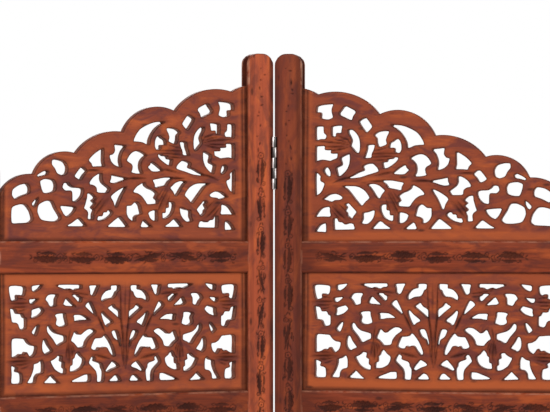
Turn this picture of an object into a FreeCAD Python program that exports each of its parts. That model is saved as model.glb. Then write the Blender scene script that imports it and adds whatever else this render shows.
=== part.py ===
import FreeCAD, Part
import math
import os
import Sketcher

# Carved jali folding screen: two wooden panels on two butt hinges, standing in a shallow V.
# Lengths are in millimetres and angles in degrees.
# Each panel has its own frame: x runs from the hinge axis to the outer edge, y from front to
# back and z up. SIDE is +1 for the right panel and -1 for the left one, whose x is negative.
# The finished pieces are swung about the hinge axis, outer edges forward.

RIGHT = 1
LEFT = -1
SIDES = {"right": RIGHT, "left": LEFT}

SIZES = {
    # Panel layout
    "panel_swing": 20.0,
    "opening_width": 381.0,
    "foot_height": 70.0,
    "row_height": 169.0,
    "row_count": 6,
    # Posts
    "post_width": 40.0,
    "post_depth": 25.0,
    "post_gap": 1.0,
    "joint_edge_round": 3.5,
    "panel_edge_chamfer": 2.0,
    "crown_round": 14.0,
    "inner_post_extra_height": 270.0,
    "outer_post_extra_height": 109.0,
    # Rails
    "rail_height": 46.0,
    "rail_depth": 22.0,
    "rail_chamfer": 2.5,
    "tenon_length": 20.0,
    "tenon_shoulder_height": 6.0,
    "joinery_clearance": 0.1,
    "joinery_gap": 0.5,
    # Carved boards
    "jali_thickness": 12.0,
    "jali_tongue": 6.0,
    "crest_height": 227.0,
    # Butt hinges
    "axis_offset": 1.0,
    "hinge_length": 75.0,
    "knuckle_count": 5,
    "knuckle_gap": 0.3,
    "barrel_radius": 4.0,
    "barrel_clearance": 0.4,
    "leaf_width": 22.0,
    "leaf_thickness": 1.6,
    "leaf_parting": 0.1,
    "pin_radius": 1.9,
    "pin_clearance": 0.05,
    "upper_hinge_distance": 120.0,
    "lower_hinge_height": 240.0,
    # How far a cutting tool runs past the face that it enters
    "overrun": 1.0,
}

HINGE_PLACES = ["lower", "upper"]

# Edges that stray less than this from an axis count as parallel to it.
TOLERANCE = 1e-6

# Each lobe of the crest ends at a point of the scalloped line and bulges through a second
# point: (bulge, end), as shares of the opening's width and of the crest's height. The line
# falls from the hinge side, where x_share is 1, to the outer side.
CREST_START_SHARE = (1.0, 0.988)
CREST_LOBE_SHARES = [
    ((0.968, 0.972), (0.942, 0.948)),
    ((0.795, 0.934), (0.706, 0.813)),
    ((0.582, 0.823), (0.492, 0.678)),
    ((0.386, 0.655), (0.304, 0.542)),
    ((0.206, 0.532), (0.139, 0.410)),
    ((0.056, 0.380), (0.0, 0.275)),
]

# The crest's main cut-outs, as shares of the opening's width and of the crest's height.
CREST_HOLE_SHARES = [
    [(0.884, 0.886), (0.949, 0.870), (0.948, 0.831), (0.900, 0.785)],
    [(0.840, 0.872), (0.862, 0.826), (0.816, 0.778), (0.796, 0.830)],
    [(0.758, 0.796), (0.786, 0.772), (0.752, 0.698), (0.733, 0.738)],
    [(0.848, 0.748), (0.890, 0.742), (0.888, 0.678), (0.852, 0.698)],
    [(0.920, 0.746), (0.951, 0.742), (0.950, 0.656), (0.908, 0.664)],
    [(0.810, 0.722), (0.826, 0.704), (0.817, 0.610), (0.783, 0.568)],
    [(0.913, 0.620), (0.951, 0.614), (0.950, 0.519), (0.875, 0.535)],
    [(0.820, 0.569), (0.853, 0.545), (0.869, 0.480), (0.862, 0.424), (0.817, 0.510)],
    [(0.936, 0.440), (0.951, 0.446), (0.950, 0.304), (0.914, 0.368)],
    [(0.842, 0.288), (0.872, 0.316), (0.922, 0.278)],
    [(0.820, 0.256), (0.836, 0.220), (0.808, 0.154), (0.790, 0.198)],
    [(0.893, 0.232), (0.925, 0.224), (0.952, 0.167), (0.890, 0.168)],
    [(0.803, 0.126), (0.874, 0.160), (0.881, 0.088), (0.799, 0.087)],
    [(0.534, 0.622), (0.605, 0.738), (0.661, 0.746), (0.600, 0.603)],
    [(0.670, 0.710), (0.726, 0.688), (0.708, 0.609), (0.676, 0.626)],
    [(0.722, 0.624), (0.751, 0.622), (0.762, 0.539), (0.733, 0.543)],
    [(0.507, 0.504), (0.545, 0.565), (0.588, 0.538), (0.572, 0.423), (0.526, 0.432)],
    [(0.632, 0.545), (0.692, 0.512), (0.687, 0.475)],
    [(0.730, 0.508), (0.768, 0.488), (0.830, 0.411), (0.705, 0.460)],
    [(0.611, 0.386), (0.693, 0.402), (0.668, 0.350), (0.621, 0.336)],
    [(0.681, 0.336), (0.749, 0.374), (0.706, 0.286)],
    [(0.570, 0.369), (0.632, 0.302), (0.634, 0.238), (0.587, 0.236), (0.533, 0.309)],
    [(0.742, 0.290), (0.776, 0.356), (0.842, 0.364), (0.770, 0.240)],
    [(0.507, 0.226), (0.549, 0.249), (0.569, 0.174), (0.535, 0.128)],
    [(0.722, 0.212), (0.769, 0.194), (0.775, 0.124)],
    [(0.402, 0.570), (0.416, 0.568), (0.418, 0.466), (0.358, 0.478)],
    [(0.457, 0.602), (0.503, 0.594), (0.486, 0.463), (0.445, 0.494)],
    [(0.394, 0.420), (0.440, 0.330), (0.388, 0.304), (0.359, 0.355)],
    [(0.493, 0.340), (0.508, 0.342), (0.465, 0.216), (0.443, 0.277)],
    [(0.351, 0.298), (0.383, 0.270), (0.376, 0.138), (0.336, 0.190)],
    [(0.276, 0.360), (0.335, 0.326), (0.300, 0.245), (0.255, 0.320)],
    [(0.210, 0.500), (0.262, 0.480), (0.270, 0.400), (0.222, 0.420)],
    [(0.165, 0.360), (0.218, 0.370), (0.224, 0.300), (0.172, 0.285)],
    [(0.060, 0.318), (0.112, 0.348), (0.124, 0.290), (0.062, 0.245)],
    [(0.050, 0.196), (0.108, 0.226), (0.132, 0.130), (0.050, 0.130)],
    [(0.158, 0.226), (0.214, 0.246), (0.246, 0.150), (0.166, 0.140)],
]

# How much of the opening's width the pattern of a row fills.
ROW_PATTERN_SHARE = 0.968

# The main cut-outs of one half of a row's board, as shares of half the pattern's width,
# counted from the trunk, and of the row's height. The other half is its mirror image.
ROW_HOLE_SHARES = [
    [(0.119, 0.906), (0.047, 0.906), (0.084, 0.808), (0.200, 0.772)],
    [(0.950, 0.900), (0.820, 0.898), (0.822, 0.820), (0.936, 0.783)],
    [(0.658, 0.795), (0.550, 0.836), (0.590, 0.725)],
    [(0.773, 0.707), (0.672, 0.720), (0.778, 0.640)],
    [(0.946, 0.718), (0.812, 0.650), (0.820, 0.550), (0.930, 0.608)],
    [(0.580, 0.668), (0.493, 0.676), (0.480, 0.575), (0.575, 0.570)],
    [(0.642, 0.582), (0.486, 0.470), (0.566, 0.408)],
    [(0.168, 0.492), (0.080, 0.315), (0.284, 0.378), (0.255, 0.462)],
    [(0.422, 0.522), (0.240, 0.530), (0.330, 0.390), (0.446, 0.448)],
    [(0.930, 0.476), (0.820, 0.474), (0.735, 0.360), (0.932, 0.324)],
    [(0.272, 0.318), (0.185, 0.246), (0.178, 0.104), (0.240, 0.104)],
    [(0.410, 0.346), (0.338, 0.270), (0.380, 0.200), (0.460, 0.200)],
    [(0.555, 0.330), (0.490, 0.178), (0.616, 0.284)],
    [(0.753, 0.264), (0.672, 0.270), (0.738, 0.106), (0.802, 0.106)],
    [(0.934, 0.254), (0.846, 0.200), (0.845, 0.108), (0.932, 0.108)],
]


class Length:
    """A length or count with its number and the text that binds a property to the sheet."""

    def __init__(self, number, text):
        self.number = number
        self.text = text

    def __add__(self, other):
        return Length(self.number + other.number, f"({self.text} + {other.text})")

    def __sub__(self, other):
        return Length(self.number - other.number, f"({self.text} - {other.text})")

    def __mul__(self, factor):
        return Length(self.number * factor, f"({self.text} * {factor})")

    def __truediv__(self, divisor):
        return Length(self.number / divisor, f"({self.text} / {divisor})")


def make_sheet(doc):
    """Fill the spreadsheet and return its values as lengths, under their aliases."""
    sheet = doc.addObject("Spreadsheet::Sheet", "sizes")
    for row, (name, value) in enumerate(SIZES.items(), start=1):
        sheet.set(f"A{row}", name)
        sheet.set(f"B{row}", str(value))
        sheet.setAlias(f"B{row}", name)
    doc.recompute()
    lengths = {}
    for name in SIZES:
        lengths[name] = Length(float(getattr(sheet, name)), f"sizes.{name}")
    return lengths


doc = FreeCAD.newDocument("jali_screen")
size = make_sheet(doc)
nothing = size["overrun"] * 0

# Places along the panel's width
post_face = size["post_gap"] / 2
opening_start = post_face + size["post_width"]
opening_end = opening_start + size["opening_width"]
opening_middle = opening_start + size["opening_width"] / 2
panel_edge = opening_end + size["post_width"]

# Places through the panel's depth
front_face = size["axis_offset"]
middle_plane = size["axis_offset"] + size["post_depth"] / 2

# Levels above the floor
row_pitch = size["row_height"] + size["rail_height"]
row_total = int(size["row_count"].number)
crest_level = size["foot_height"] + row_pitch * row_total + size["rail_height"]
inner_post_height = crest_level + size["inner_post_extra_height"]
outer_post_height = crest_level + size["outer_post_extra_height"]

# Joinery
groove_width = size["jali_thickness"] + size["joinery_clearance"] * 2
groove_depth = size["jali_tongue"] + size["joinery_gap"]
mortise_depth = size["tenon_length"] + size["joinery_gap"]
tenon_height = size["rail_height"] - size["tenon_shoulder_height"] * 2

# Hinges
knuckle_pitch = (size["hinge_length"] + size["knuckle_gap"]) / int(size["knuckle_count"].number)
knuckle_height = knuckle_pitch - size["knuckle_gap"]
leaf_face = size["leaf_parting"] / 2
leaf_back = leaf_face + size["leaf_thickness"]
leaf_start = size["barrel_radius"] + size["barrel_clearance"]
tab_start = (size["barrel_radius"] + size["pin_radius"]) / 2


def rail_level(number):
    """Height of the underside of rail NUMBER, counted from 0 at the bottom."""
    return size["foot_height"] + row_pitch * number


def hinge_levels():
    """Heights of the lower ends of the hinges."""
    upper = inner_post_height - size["upper_hinge_distance"] - size["hinge_length"]
    return [size["lower_hinge_height"], upper]


def bind(obj, **lengths):
    """Bind properties of an object to the sheet."""
    for name, length in lengths.items():
        obj.setExpression(name, length.text)


def bind_corner(obj, x, y, z):
    """Bind the place of an object's own origin to the sheet."""
    obj.setExpression("Placement.Base.x", x.text)
    obj.setExpression("Placement.Base.y", y.text)
    obj.setExpression("Placement.Base.z", z.text)


def add_box(name, side, x, y, z, length, width, height):
    """A box whose x runs from the hinge axis outwards on either panel."""
    box = doc.addObject("Part::Box", name)
    bind(box, Length=length, Width=width, Height=height)
    corner = x if side == RIGHT else (x + length) * -1
    bind_corner(box, corner, y, z)
    return box


def add_upright(name, radius, z, height):
    """A cylinder on the hinge axis."""
    cylinder = doc.addObject("Part::Cylinder", name)
    bind(cylinder, Radius=radius, Height=height)
    bind_corner(cylinder, nothing, nothing, z)
    return cylinder


def fuse(name, pieces):
    """One solid out of several."""
    fused = doc.addObject("Part::MultiFuse", name)
    fused.Shapes = pieces
    fused.Refine = True
    return fused


def cut(name, base, tool):
    """A solid with a tool's solid taken out of it."""
    result = doc.addObject("Part::Cut", name)
    result.Base = base
    result.Tool = tool
    return result


def ease_edges(kind, name, base, amount, wanted):
    """Fillet or chamfer every edge of BASE that WANTED picks."""
    doc.recompute()
    edges = []
    for number, edge in enumerate(base.Shape.Edges, start=1):
        if wanted(edge):
            edges.append((number, amount.number, amount.number))
    eased = doc.addObject(kind, name)
    eased.Base = base
    eased.Edges = edges
    return eased


def runs_along(edge, axis):
    """Whether an edge is parallel to an axis, given as 0, 1 or 2."""
    start, end = edge.Vertexes[0].Point, edge.Vertexes[-1].Point
    across = [abs(end[other] - start[other]) for other in range(3) if other != axis]
    return max(across) < TOLERANCE


def post_blank(name, side, x, height, joint_side):
    """A post with a rounded crown, rounded edges at the x of JOINT_SIDE and eased ones opposite."""
    sizes = (x, front_face, nothing, size["post_width"], size["post_depth"], height)

    def on_joint_side(edge):
        return abs(abs(edge.CenterOfMass.x) - joint_side.number) < TOLERANCE

    def rounded(edge):
        return runs_along(edge, 2) and on_joint_side(edge)

    def eased(edge):
        across = abs(abs(edge.CenterOfMass.x) - joint_side.number)
        return runs_along(edge, 2) and abs(across - size["post_width"].number) < TOLERANCE

    def at_crown(edge):
        return runs_along(edge, 1) and edge.CenterOfMass.z > height.number / 2

    square = add_box(f"{name}_square", side, *sizes)
    rounding = ease_edges("Part::Fillet", f"{name}_rounding", square, size["joint_edge_round"], rounded)
    shaft = ease_edges("Part::Chamfer", f"{name}_shaft", rounding, size["panel_edge_chamfer"], eased)
    crown_square = add_box(f"{name}_crown_square", side, *sizes)
    crown = ease_edges("Part::Fillet", f"{name}_crown", crown_square, size["crown_round"], at_crown)
    blank = doc.addObject("Part::MultiCommon", f"{name}_blank")
    blank.Shapes = [shaft, crown]
    return blank


def post_joinery(name, side, mouth, inwards, height):
    """The groove and mortises of a post. MOUTH is the grooved face's x, INWARDS its sign."""

    def slot(label, depth, z, length):
        start = mouth - depth if inwards > 0 else mouth - size["overrun"]
        y = middle_plane - groove_width / 2
        return add_box(label, side, start, y, z, depth + size["overrun"], groove_width, length)

    tools = [slot(f"{name}_groove", groove_depth, nothing - size["overrun"],
                  height + size["overrun"] * 2)]
    for number in range(row_total + 1):
        level = rail_level(number) + size["tenon_shoulder_height"] - size["joinery_clearance"]
        opening = tenon_height + size["joinery_clearance"] * 2
        tools.append(slot(f"{name}_mortise_{number + 1}", mortise_depth, level, opening))
    return tools


def hinge_seats(name, side):
    """Recesses for the hinge leaves in the post's outer side and for their knuckles at its front."""
    start = post_face - size["overrun"]
    tools = []
    for place, level in zip(HINGE_PLACES, hinge_levels()):
        tools.append(add_box(f"{name}_{place}_seat", side, start, nothing, level,
                             leaf_back - start, size["leaf_width"], size["hinge_length"]))
        tools.append(add_box(f"{name}_{place}_notch", side, start, nothing, level,
                             leaf_start - start, leaf_start, size["hinge_length"]))
    return tools


def inner_post(name, side):
    """The tall post beside the hinges."""
    blank = post_blank(name, side, post_face, inner_post_height, post_face)
    tools = post_joinery(name, side, opening_start, RIGHT, inner_post_height)
    return cut(name, blank, fuse(f"{name}_tools", tools + hinge_seats(name, side)))


def outer_post(name, side):
    """The shorter post at the panel's outer edge."""
    blank = post_blank(name, side, opening_end, outer_post_height, panel_edge)
    tools = post_joinery(name, side, opening_end, LEFT, outer_post_height)
    return cut(name, blank, fuse(f"{name}_tools", tools))


def origin_plane(body, role):
    """A body's own plane, such as YZ_Plane."""
    return next(item for item in body.Origin.OriginFeatures if item.Role == role)


def section_sketch(body, name, width, height, low):
    """A rectangle across a rail, centred in depth, with its lower edge at LOW from the rail's axis."""
    sketch = body.newObject("Sketcher::SketchObject", name)
    sketch.AttachmentSupport = [(origin_plane(body, "YZ_Plane"), "")]
    sketch.MapMode = "FlatFace"
    left = width / 2 * -1
    right = width / 2
    high = low + height
    corners = [(left, low), (right, low), (right, high), (left, high)]
    points = [FreeCAD.Vector(x.number, y.number, 0) for x, y in corners]
    for number, direction in enumerate(["Horizontal", "Vertical", "Horizontal", "Vertical"]):
        following = (number + 1) % len(points)
        sketch.addGeometry(Part.LineSegment(points[number], points[following]))
        sketch.addConstraint(Sketcher.Constraint(direction, number))
    for number in range(len(points)):
        following = (number + 1) % len(points)
        sketch.addConstraint(Sketcher.Constraint("Coincident", number, 2, following, 1))
    measures = [
        ("DistanceX", (-1, 1), (0, 1), left),
        ("DistanceX", (0, 1), (0, 2), width),
        ("DistanceY", (-1, 1), (0, 1), low),
        ("DistanceY", (1, 1), (1, 2), height),
    ]
    for kind, start, end, length in measures:
        index = sketch.addConstraint(Sketcher.Constraint(kind, *start, *end, length.number))
        bind(sketch, **{f"Constraints[{index}]": length})
    return sketch


def add_pad(body, name, sketch, length):
    """A pad that runs both ways from its sketch."""
    pad = body.newObject("PartDesign::Pad", name)
    pad.Profile = sketch
    pad.Midplane = True
    bind(pad, Length=length)
    return pad


def groove(body, name, low):
    """A groove along a rail's edge."""
    sketch = section_sketch(body, f"{name}_section", groove_width, groove_depth + size["overrun"], low)
    pocket = body.newObject("PartDesign::Pocket", name)
    pocket.Profile = sketch
    pocket.Midplane = True
    bind(pocket, Length=size["opening_width"] + size["tenon_length"] * 2 + size["overrun"])
    body.Tip = pocket


def rail(name, number):
    """A rail with eased long edges, a stub tenon at each end and grooves for the boards."""
    body = doc.addObject("PartDesign::Body", name)
    half = size["rail_height"] / 2
    section = section_sketch(body, f"{name}_section", size["rail_depth"], size["rail_height"], half * -1)
    bar = add_pad(body, f"{name}_bar", section, size["opening_width"])
    doc.recompute()
    long_edges = []
    for index, edge in enumerate(bar.Shape.Edges, start=1):
        if runs_along(edge, 0):
            long_edges.append(f"Edge{index}")
    chamfer = body.newObject("PartDesign::Chamfer", f"{name}_chamfer")
    chamfer.Base = (bar, long_edges)
    bind(chamfer, Size=size["rail_chamfer"])
    tenon = section_sketch(body, f"{name}_tenon_section", size["jali_thickness"], tenon_height,
                           tenon_height / 2 * -1)
    add_pad(body, f"{name}_tenons", tenon, size["opening_width"] + size["tenon_length"] * 2)
    groove(body, f"{name}_upper_groove", half - groove_depth)
    if number > 0:
        groove(body, f"{name}_lower_groove", (half + size["overrun"]) * -1)
    return body


def row_point(x_share, z_share):
    """A point of a row's board, from the opening's middle and the rail below."""
    reach = size["opening_width"].number / 2 * ROW_PATTERN_SHARE
    return (x_share * reach, z_share * size["row_height"].number)


def crest_point(x_share, z_share):
    """A point of the crest: share 1 of the width is the hinge side, share 0 the outer side."""
    x = (x_share - 1 / 2) * size["opening_width"].number
    return (x, z_share * size["crest_height"].number)


def board_point(x, z):
    """A point on a board's front face. Boards are centred in depth."""
    return FreeCAD.Vector(x, -size["jali_thickness"].number / 2, z)


def closed_wire(points):
    """A closed polygon on a board's front face."""
    corners = [board_point(x, z) for x, z in points]
    return Part.makePolygon(corners + corners[:1])


def board(outline, holes):
    """A board of the jali's thickness with its cut-outs."""
    face = Part.makeFace([outline] + holes, "Part::FaceMakerBullseye")
    return face.extrude(FreeCAD.Vector(0, size["jali_thickness"].number, 0))


def row_board():
    """The rectangular fretwork board of a row, the same on both sides of its trunk."""
    tongue = size["jali_tongue"].number
    half = size["opening_width"].number / 2 + tongue
    top = size["row_height"].number + tongue
    outline = closed_wire([(-half, -tongue), (half, -tongue), (half, top), (-half, top)])
    holes = []
    for shares in ROW_HOLE_SHARES:
        points = [row_point(*share) for share in shares]
        holes.append(closed_wire(points))
        holes.append(closed_wire([(-x, z) for x, z in points]))
    return board(outline, holes)


def crest_outline(side):
    """The crest's outline: scallops along the top, tongues at the posts and the rail."""
    tongue = size["jali_tongue"].number
    half = size["opening_width"].number / 2
    towards_hinge = -side

    def place(x, z):
        return board_point(towards_hinge * x, z)

    start = crest_point(*CREST_START_SHARE)
    end = crest_point(*CREST_LOBE_SHARES[-1][-1])
    corners = [(end[0], end[1]), (-half - tongue, end[1]), (-half - tongue, -tongue),
               (half + tongue, -tongue), (half + tongue, start[1]), start]
    edges = []
    for (x, z), (next_x, next_z) in zip(corners, corners[1:]):
        edges.append(Part.LineSegment(place(x, z), place(next_x, next_z)).toShape())
    previous = start
    for bulge_share, end_share in CREST_LOBE_SHARES:
        bulge = crest_point(*bulge_share)
        end = crest_point(*end_share)
        edges.append(Part.Arc(place(*previous), place(*bulge), place(*end)).toShape())
        previous = end
    return Part.Wire(edges)


def crest_board(side):
    """The crest of one panel, higher at the hinge."""
    holes = []
    for shares in CREST_HOLE_SHARES:
        points = [crest_point(*share) for share in shares]
        holes.append(closed_wire([(-side * x, z) for x, z in points]))
    return board(crest_outline(side), holes)


def leaf(name, side, level):
    """A hinge leaf: a plate and its knuckles, with the pin on the left leaf and bores in the right one."""
    first = 0 if side == LEFT else 1
    pieces = [add_box(f"{name}_plate", side, leaf_face, leaf_start, level, size["leaf_thickness"],
                      size["leaf_width"] - leaf_start, size["hinge_length"])]
    for number in range(first, int(size["knuckle_count"].number), 2):
        z = level + knuckle_pitch * number
        pieces.append(add_box(f"{name}_tab_{number + 1}", side, leaf_face, tab_start, z,
                              size["leaf_thickness"], leaf_start - tab_start, knuckle_height))
        pieces.append(add_upright(f"{name}_knuckle_{number + 1}", size["barrel_radius"], z, knuckle_height))
    if side == LEFT:
        pieces.append(add_upright(f"{name}_pin", size["pin_radius"], level, size["hinge_length"]))
        return fuse(name, pieces)
    bore = add_upright(f"{name}_bore", size["pin_radius"] + size["pin_clearance"],
                       level - size["overrun"], size["hinge_length"] + size["overrun"] * 2)
    return cut(name, fuse(f"{name}_solid", pieces), bore)


def group(name, pieces):
    """One object that holds several separate solids."""
    compound = doc.addObject("Part::Compound", name)
    compound.Links = pieces
    return compound


def fixed_solid(name, shape):
    """An object that holds a finished shape."""
    feature = doc.addObject("Part::Feature", name)
    feature.Shape = shape
    return feature


def hinge_axis_depth():
    """How far behind the screen's middle the hinge axis stands, by the rounded corners' reach."""
    swing = math.radians(size["panel_swing"].number)
    radius = size["joint_edge_round"].number
    back_face = front_face.number + size["post_depth"].number

    def turned(x, y):
        return y * math.cos(swing) - x * math.sin(swing)

    rearmost = turned(post_face.number + radius, back_face - radius) + radius
    foremost = turned(panel_edge.number - radius, front_face.number + radius) - radius
    return -(rearmost + foremost) / 2


def swing_out(obj, side, offset=None):
    """Put a piece of a panel's frame in its place, swung about the hinge axis."""
    turn = FreeCAD.Rotation(FreeCAD.Vector(0, 0, 1), -side * size["panel_swing"].number)
    swung = FreeCAD.Placement(FreeCAD.Vector(0, hinge_axis_depth(), 0), turn)
    if offset:
        swung = swung.multiply(FreeCAD.Placement(offset, FreeCAD.Rotation()))
    obj.Placement = swung


def middle_of_opening(side, level):
    """The point on the middle plane, half way across a panel's opening, at a level."""
    return FreeCAD.Vector(side * opening_middle.number, middle_plane.number, level.number)


def build_panel(word, side):
    """All wooden pieces of one panel."""
    pieces = []
    for name, make in [(f"{word}_inner_post", inner_post), (f"{word}_outer_post", outer_post)]:
        post = make(name, side)
        swing_out(post, side)
        pieces.append(post)
    for number in range(row_total + 1):
        bar = rail(f"{word}_rail_{number + 1}", number)
        swing_out(bar, side, middle_of_opening(side, rail_level(number) + size["rail_height"] / 2))
        pieces.append(bar)
    for number in range(row_total):
        level = rail_level(number) + size["rail_height"]
        jali = fixed_solid(f"{word}_row_jali_{number + 1}", row_board())
        swing_out(jali, side, middle_of_opening(side, level))
        pieces.append(jali)
    crest = fixed_solid(f"{word}_crest_jali", crest_board(side))
    swing_out(crest, side, middle_of_opening(side, crest_level))
    pieces.append(crest)
    return pieces


def build_hinges():
    """The hinge leaves. The two leaves of a panel share an object."""
    pieces = []
    for word, side in SIDES.items():
        leaves = []
        for place, level in zip(HINGE_PLACES, hinge_levels()):
            leaves.append(leaf(f"{word}_{place}_leaf", side, level))
        both = group(f"{word}_hinge_leaves", leaves)
        swing_out(both, side)
        pieces.append(both)
    return pieces


def check_document():
    """Stop if any object failed to build."""
    failed = []
    for obj in doc.Objects:
        if "Invalid" in obj.State or "Error" in obj.State:
            failed.append(obj.Name)
    if failed:
        raise RuntimeError("objects that failed: " + ", ".join(failed))


def export_pieces(pieces):
    """Check each piece and write it to its own STEP file."""
    os.makedirs("parts", exist_ok=True)
    for piece in pieces:
        shape = piece.Shape
        if shape.isNull() or not shape.isValid() or not shape.Solids:
            raise RuntimeError(f"{piece.Label} has no valid solid")
        shape.exportStep(f"parts/{piece.Label}.step")
        print(f"{piece.Label}: {len(shape.Solids)} solid(s), {shape.Volume:.0f} mm3")


all_pieces = []
for panel_word, panel_side in SIDES.items():
    all_pieces += build_panel(panel_word, panel_side)
all_pieces += build_hinges()
doc.recompute()
check_document()
export_pieces(all_pieces)
print(f"hinge axis at y = {hinge_axis_depth():.4f} mm")
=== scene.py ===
import math
import bpy
import numpy as np
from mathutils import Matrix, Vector


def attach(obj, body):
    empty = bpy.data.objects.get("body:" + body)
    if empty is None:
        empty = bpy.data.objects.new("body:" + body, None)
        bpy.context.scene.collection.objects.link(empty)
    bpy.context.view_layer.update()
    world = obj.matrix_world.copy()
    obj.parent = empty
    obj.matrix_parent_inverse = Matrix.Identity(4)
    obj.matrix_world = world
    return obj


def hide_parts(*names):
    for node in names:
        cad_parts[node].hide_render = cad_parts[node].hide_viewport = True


# Carved jali folding screen, dressed over its CAD frame.
# Lengths are in millimetres in each panel's own frame, where x runs from the hinge axis to the
# outer edge, y from front to back and z up, until a finished piece is placed in the scene.

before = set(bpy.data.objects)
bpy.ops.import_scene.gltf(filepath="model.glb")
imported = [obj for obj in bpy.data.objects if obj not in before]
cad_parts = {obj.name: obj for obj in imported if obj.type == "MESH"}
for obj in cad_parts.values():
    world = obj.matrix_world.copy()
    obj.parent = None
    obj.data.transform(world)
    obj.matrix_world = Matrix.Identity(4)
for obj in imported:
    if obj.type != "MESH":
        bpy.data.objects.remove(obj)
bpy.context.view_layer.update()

RIGHT = 1
LEFT = -1
SIDES = {"right": RIGHT, "left": LEFT}

# Sizes of the CAD source that the carved pieces repeat
PANEL_SWING = 20.0
HINGE_AXIS_Y = 66.321
POST_GAP = 1.0
POST_WIDTH = 40.0
POST_DEPTH = 25.0
FRONT_FACE = 1.0
OUTER_EDGE_ROUND = 3.5
OPENING_WIDTH = 381.0
FOOT_HEIGHT = 70.0
ROW_HEIGHT = 169.0
ROW_COUNT = 6
RAIL_HEIGHT = 46.0
RAIL_DEPTH = 22.0
INNER_POST_EXTRA_HEIGHT = 270.0
OUTER_POST_EXTRA_HEIGHT = 109.0
JALI_THICKNESS = 12.0
GROOVE_WIDTH = 12.2
GROOVE_DEPTH = 6.5
CREST_HEIGHT = 227.0
HINGE_LENGTH = 75.0
UPPER_HINGE_DISTANCE = 120.0
LOWER_HINGE_HEIGHT = 240.0
KNUCKLE_COUNT = 5
KNUCKLE_GAP = 0.3
BARREL_RADIUS = 4.0
BARREL_CLEARANCE = 0.4
PIN_RADIUS = 1.9
LEAF_WIDTH = 22.0
LEAF_THICKNESS = 1.6
LEAF_PARTING = 0.1

# Lengths that count as none
TINY = 1e-9
TOUCH = 0.01

# Spacing of the points of the boards and of the carved bands
BOARD_STEP = 1.3
BAND_STEP = 1.1

# Stain with painted shade, wear with painted highlight, and painted glow run from 0, where there is none,
# to 1.

# A post's crown and the lip round it
CROWN_ROUND = 16.5
CROWN_NECK = 4.0
CROWN_LIP = 1.8
LIP_STAIN = 0.6

# A post's edges by the joint and by the boards, the width of the painted shade along its plain edge, the
# painted shade inside its groove and on its side by the boards, and its foot
JOINT_EDGE_ROUND = 0.9
PANEL_EDGE_ROUND = 2.5
EDGE_SHADE_WIDTH = 4.2
LEAST_EDGE = 0.05
GROOVE_SHADE = 0.8
FOOT_END_STAIN = 0.3

# A post's edges are worn and carry a painted highlight where it stands free above the boards, and little
# elsewhere.
FREE_TOP = 46.0
FREE_TOP_FADE = 2.0
SHELTERED_WEAR_AND_HIGHLIGHT = 0.2

# The rings that a post is made of, with two close together at each end of a hinge
POST_RINGS = 26
HINGE_LEVEL_STEP = 0.02

# How far below the top the vine starts, and the painted shade on a post's plain edge and on the edge by the
# boards
POST_BAND_DROP = {"right": 168.0, "left": 142.0}
POST_EDGE_SHADE = {"right": (0.45, 0.5), "left": (0.92, 0.25)}

# Rails: their round edges, their reach into the posts, and half their band as a share of a post's
RAIL_ROUND = 3.0
RAIL_OVERLAP = 0.3
RAIL_BAND_SHARE = 0.55

# How much painted shade a rail's lower edges have and how dark its end faces are, how much wear and painted
# highlight its upper edges have, and how worn the tips of its bands are
RAIL_FOOT_SHADE = 0.7
RAIL_CAP_STAIN = 0.5
RAIL_TOP_WEAR_AND_HIGHLIGHT = 0.5
RAIL_TIP_WEAR = 0.8

# A rail's leaves are wider than a post's by this factor, and its vine stops short of its ends.
RAIL_LEAF_SCALE = 1.4
RAIL_VINE_START = 20.0
RAIL_VINE_MARGIN = 12.0

# How dark the rails' ends by the inner posts are, and the rails that are darker all over
END_STAIN_REACH = 42.0
RAIL_END_STAIN = {"right": 0.5, "left": 0.2}
RAIL_SHADES = {"left_rail_6": 0.35, "right_rail_3": 0.2}

# Carved bands: their width, the length of a motif and how often the round motif comes
BAND_WIDTH = 17.6
BAND_PITCH = 53.0
ROUND_MOTIF_SHARE = 0.6

# How much motifs, leaves and flowers vary in size, and how far motifs and lines stray
PITCH_SPREAD_SHARES = (0.86, 1.08)
LEAF_SPREAD_SHARES = (0.85, 1.1)
FLOWER_SPREAD_SHARES = (0.9, 1.1)
MOTIF_STRAY = 0.8
LINE_WOBBLE = 0.25
LINE_EXTRA_WIDTH = 0.6

# How far the carving stays inside its band
VINE_MARGIN = 0.8
MARK_MARGIN = 1.0
RAIL_MARGIN = 0.6

# Small curls between the leaves: how many to a motif, how far they turn, and their sizes
CURLS = 6
CURL_POINTS = 7
CURL_TURN = (2.0, 4.2)
CURL_RADIUS = (1.4, 3.6)
CURL_WIDTH = (1.4, 2.2)
CURL_STRETCH = 1.5
CURL_END_SHARE = 0.6
CURL_SPREAD_SHARE = 0.8

# Tool marks: their distance, how far they stray, and the turns and sizes that they have
MARK_PITCH = 11.0
MARK_STRAY = 4.0
MARK_TURNS = (0.0, 0.2, 1.4)
MARK_REACH = (1.5, 3.5)
MARK_WIDTH = (1.3, 2.4)
MARK_SPREAD_SHARE = 0.9

# Depth and flat floor of the vine's cuts, as shares of their width, and the teeth along a leaf
LEAF_DEPTH_SHARE = 0.22
LEAF_FLOOR_SHARE = 0.6
LINE_DEPTH_SHARE = 0.5
SERRATION = 30.0
SERRATION_SHARE = 0.16

# Ring flowers of the vine: the ring, its petals and the eye in its middle
RING_WIDTH = 1.0
RING_DEPTH = 0.8
PETALS = 5
PETAL_SHARE = 0.08
FLOWER_EYE_SHARE = 0.26
FLOWER_EYE_DEPTH = 0.7

# Hatching of the leaves, and the stain and painted shade for each millimetre that the vine is cut
HATCHING_SHARE = 0.25
LEAF_STAIN_AND_SHADE = 1.6
LINE_STAIN_AND_SHADE = 2.0
RING_STAIN_AND_SHADE = 1.5
VINE_SHADE_STAIN = 0.35

# Tapering cuts: their width at the ends and the depth of their walls, as shares of the width
CUT_END_SHARE = 0.35
CUT_DEPTH_SHARE = 0.62

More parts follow.
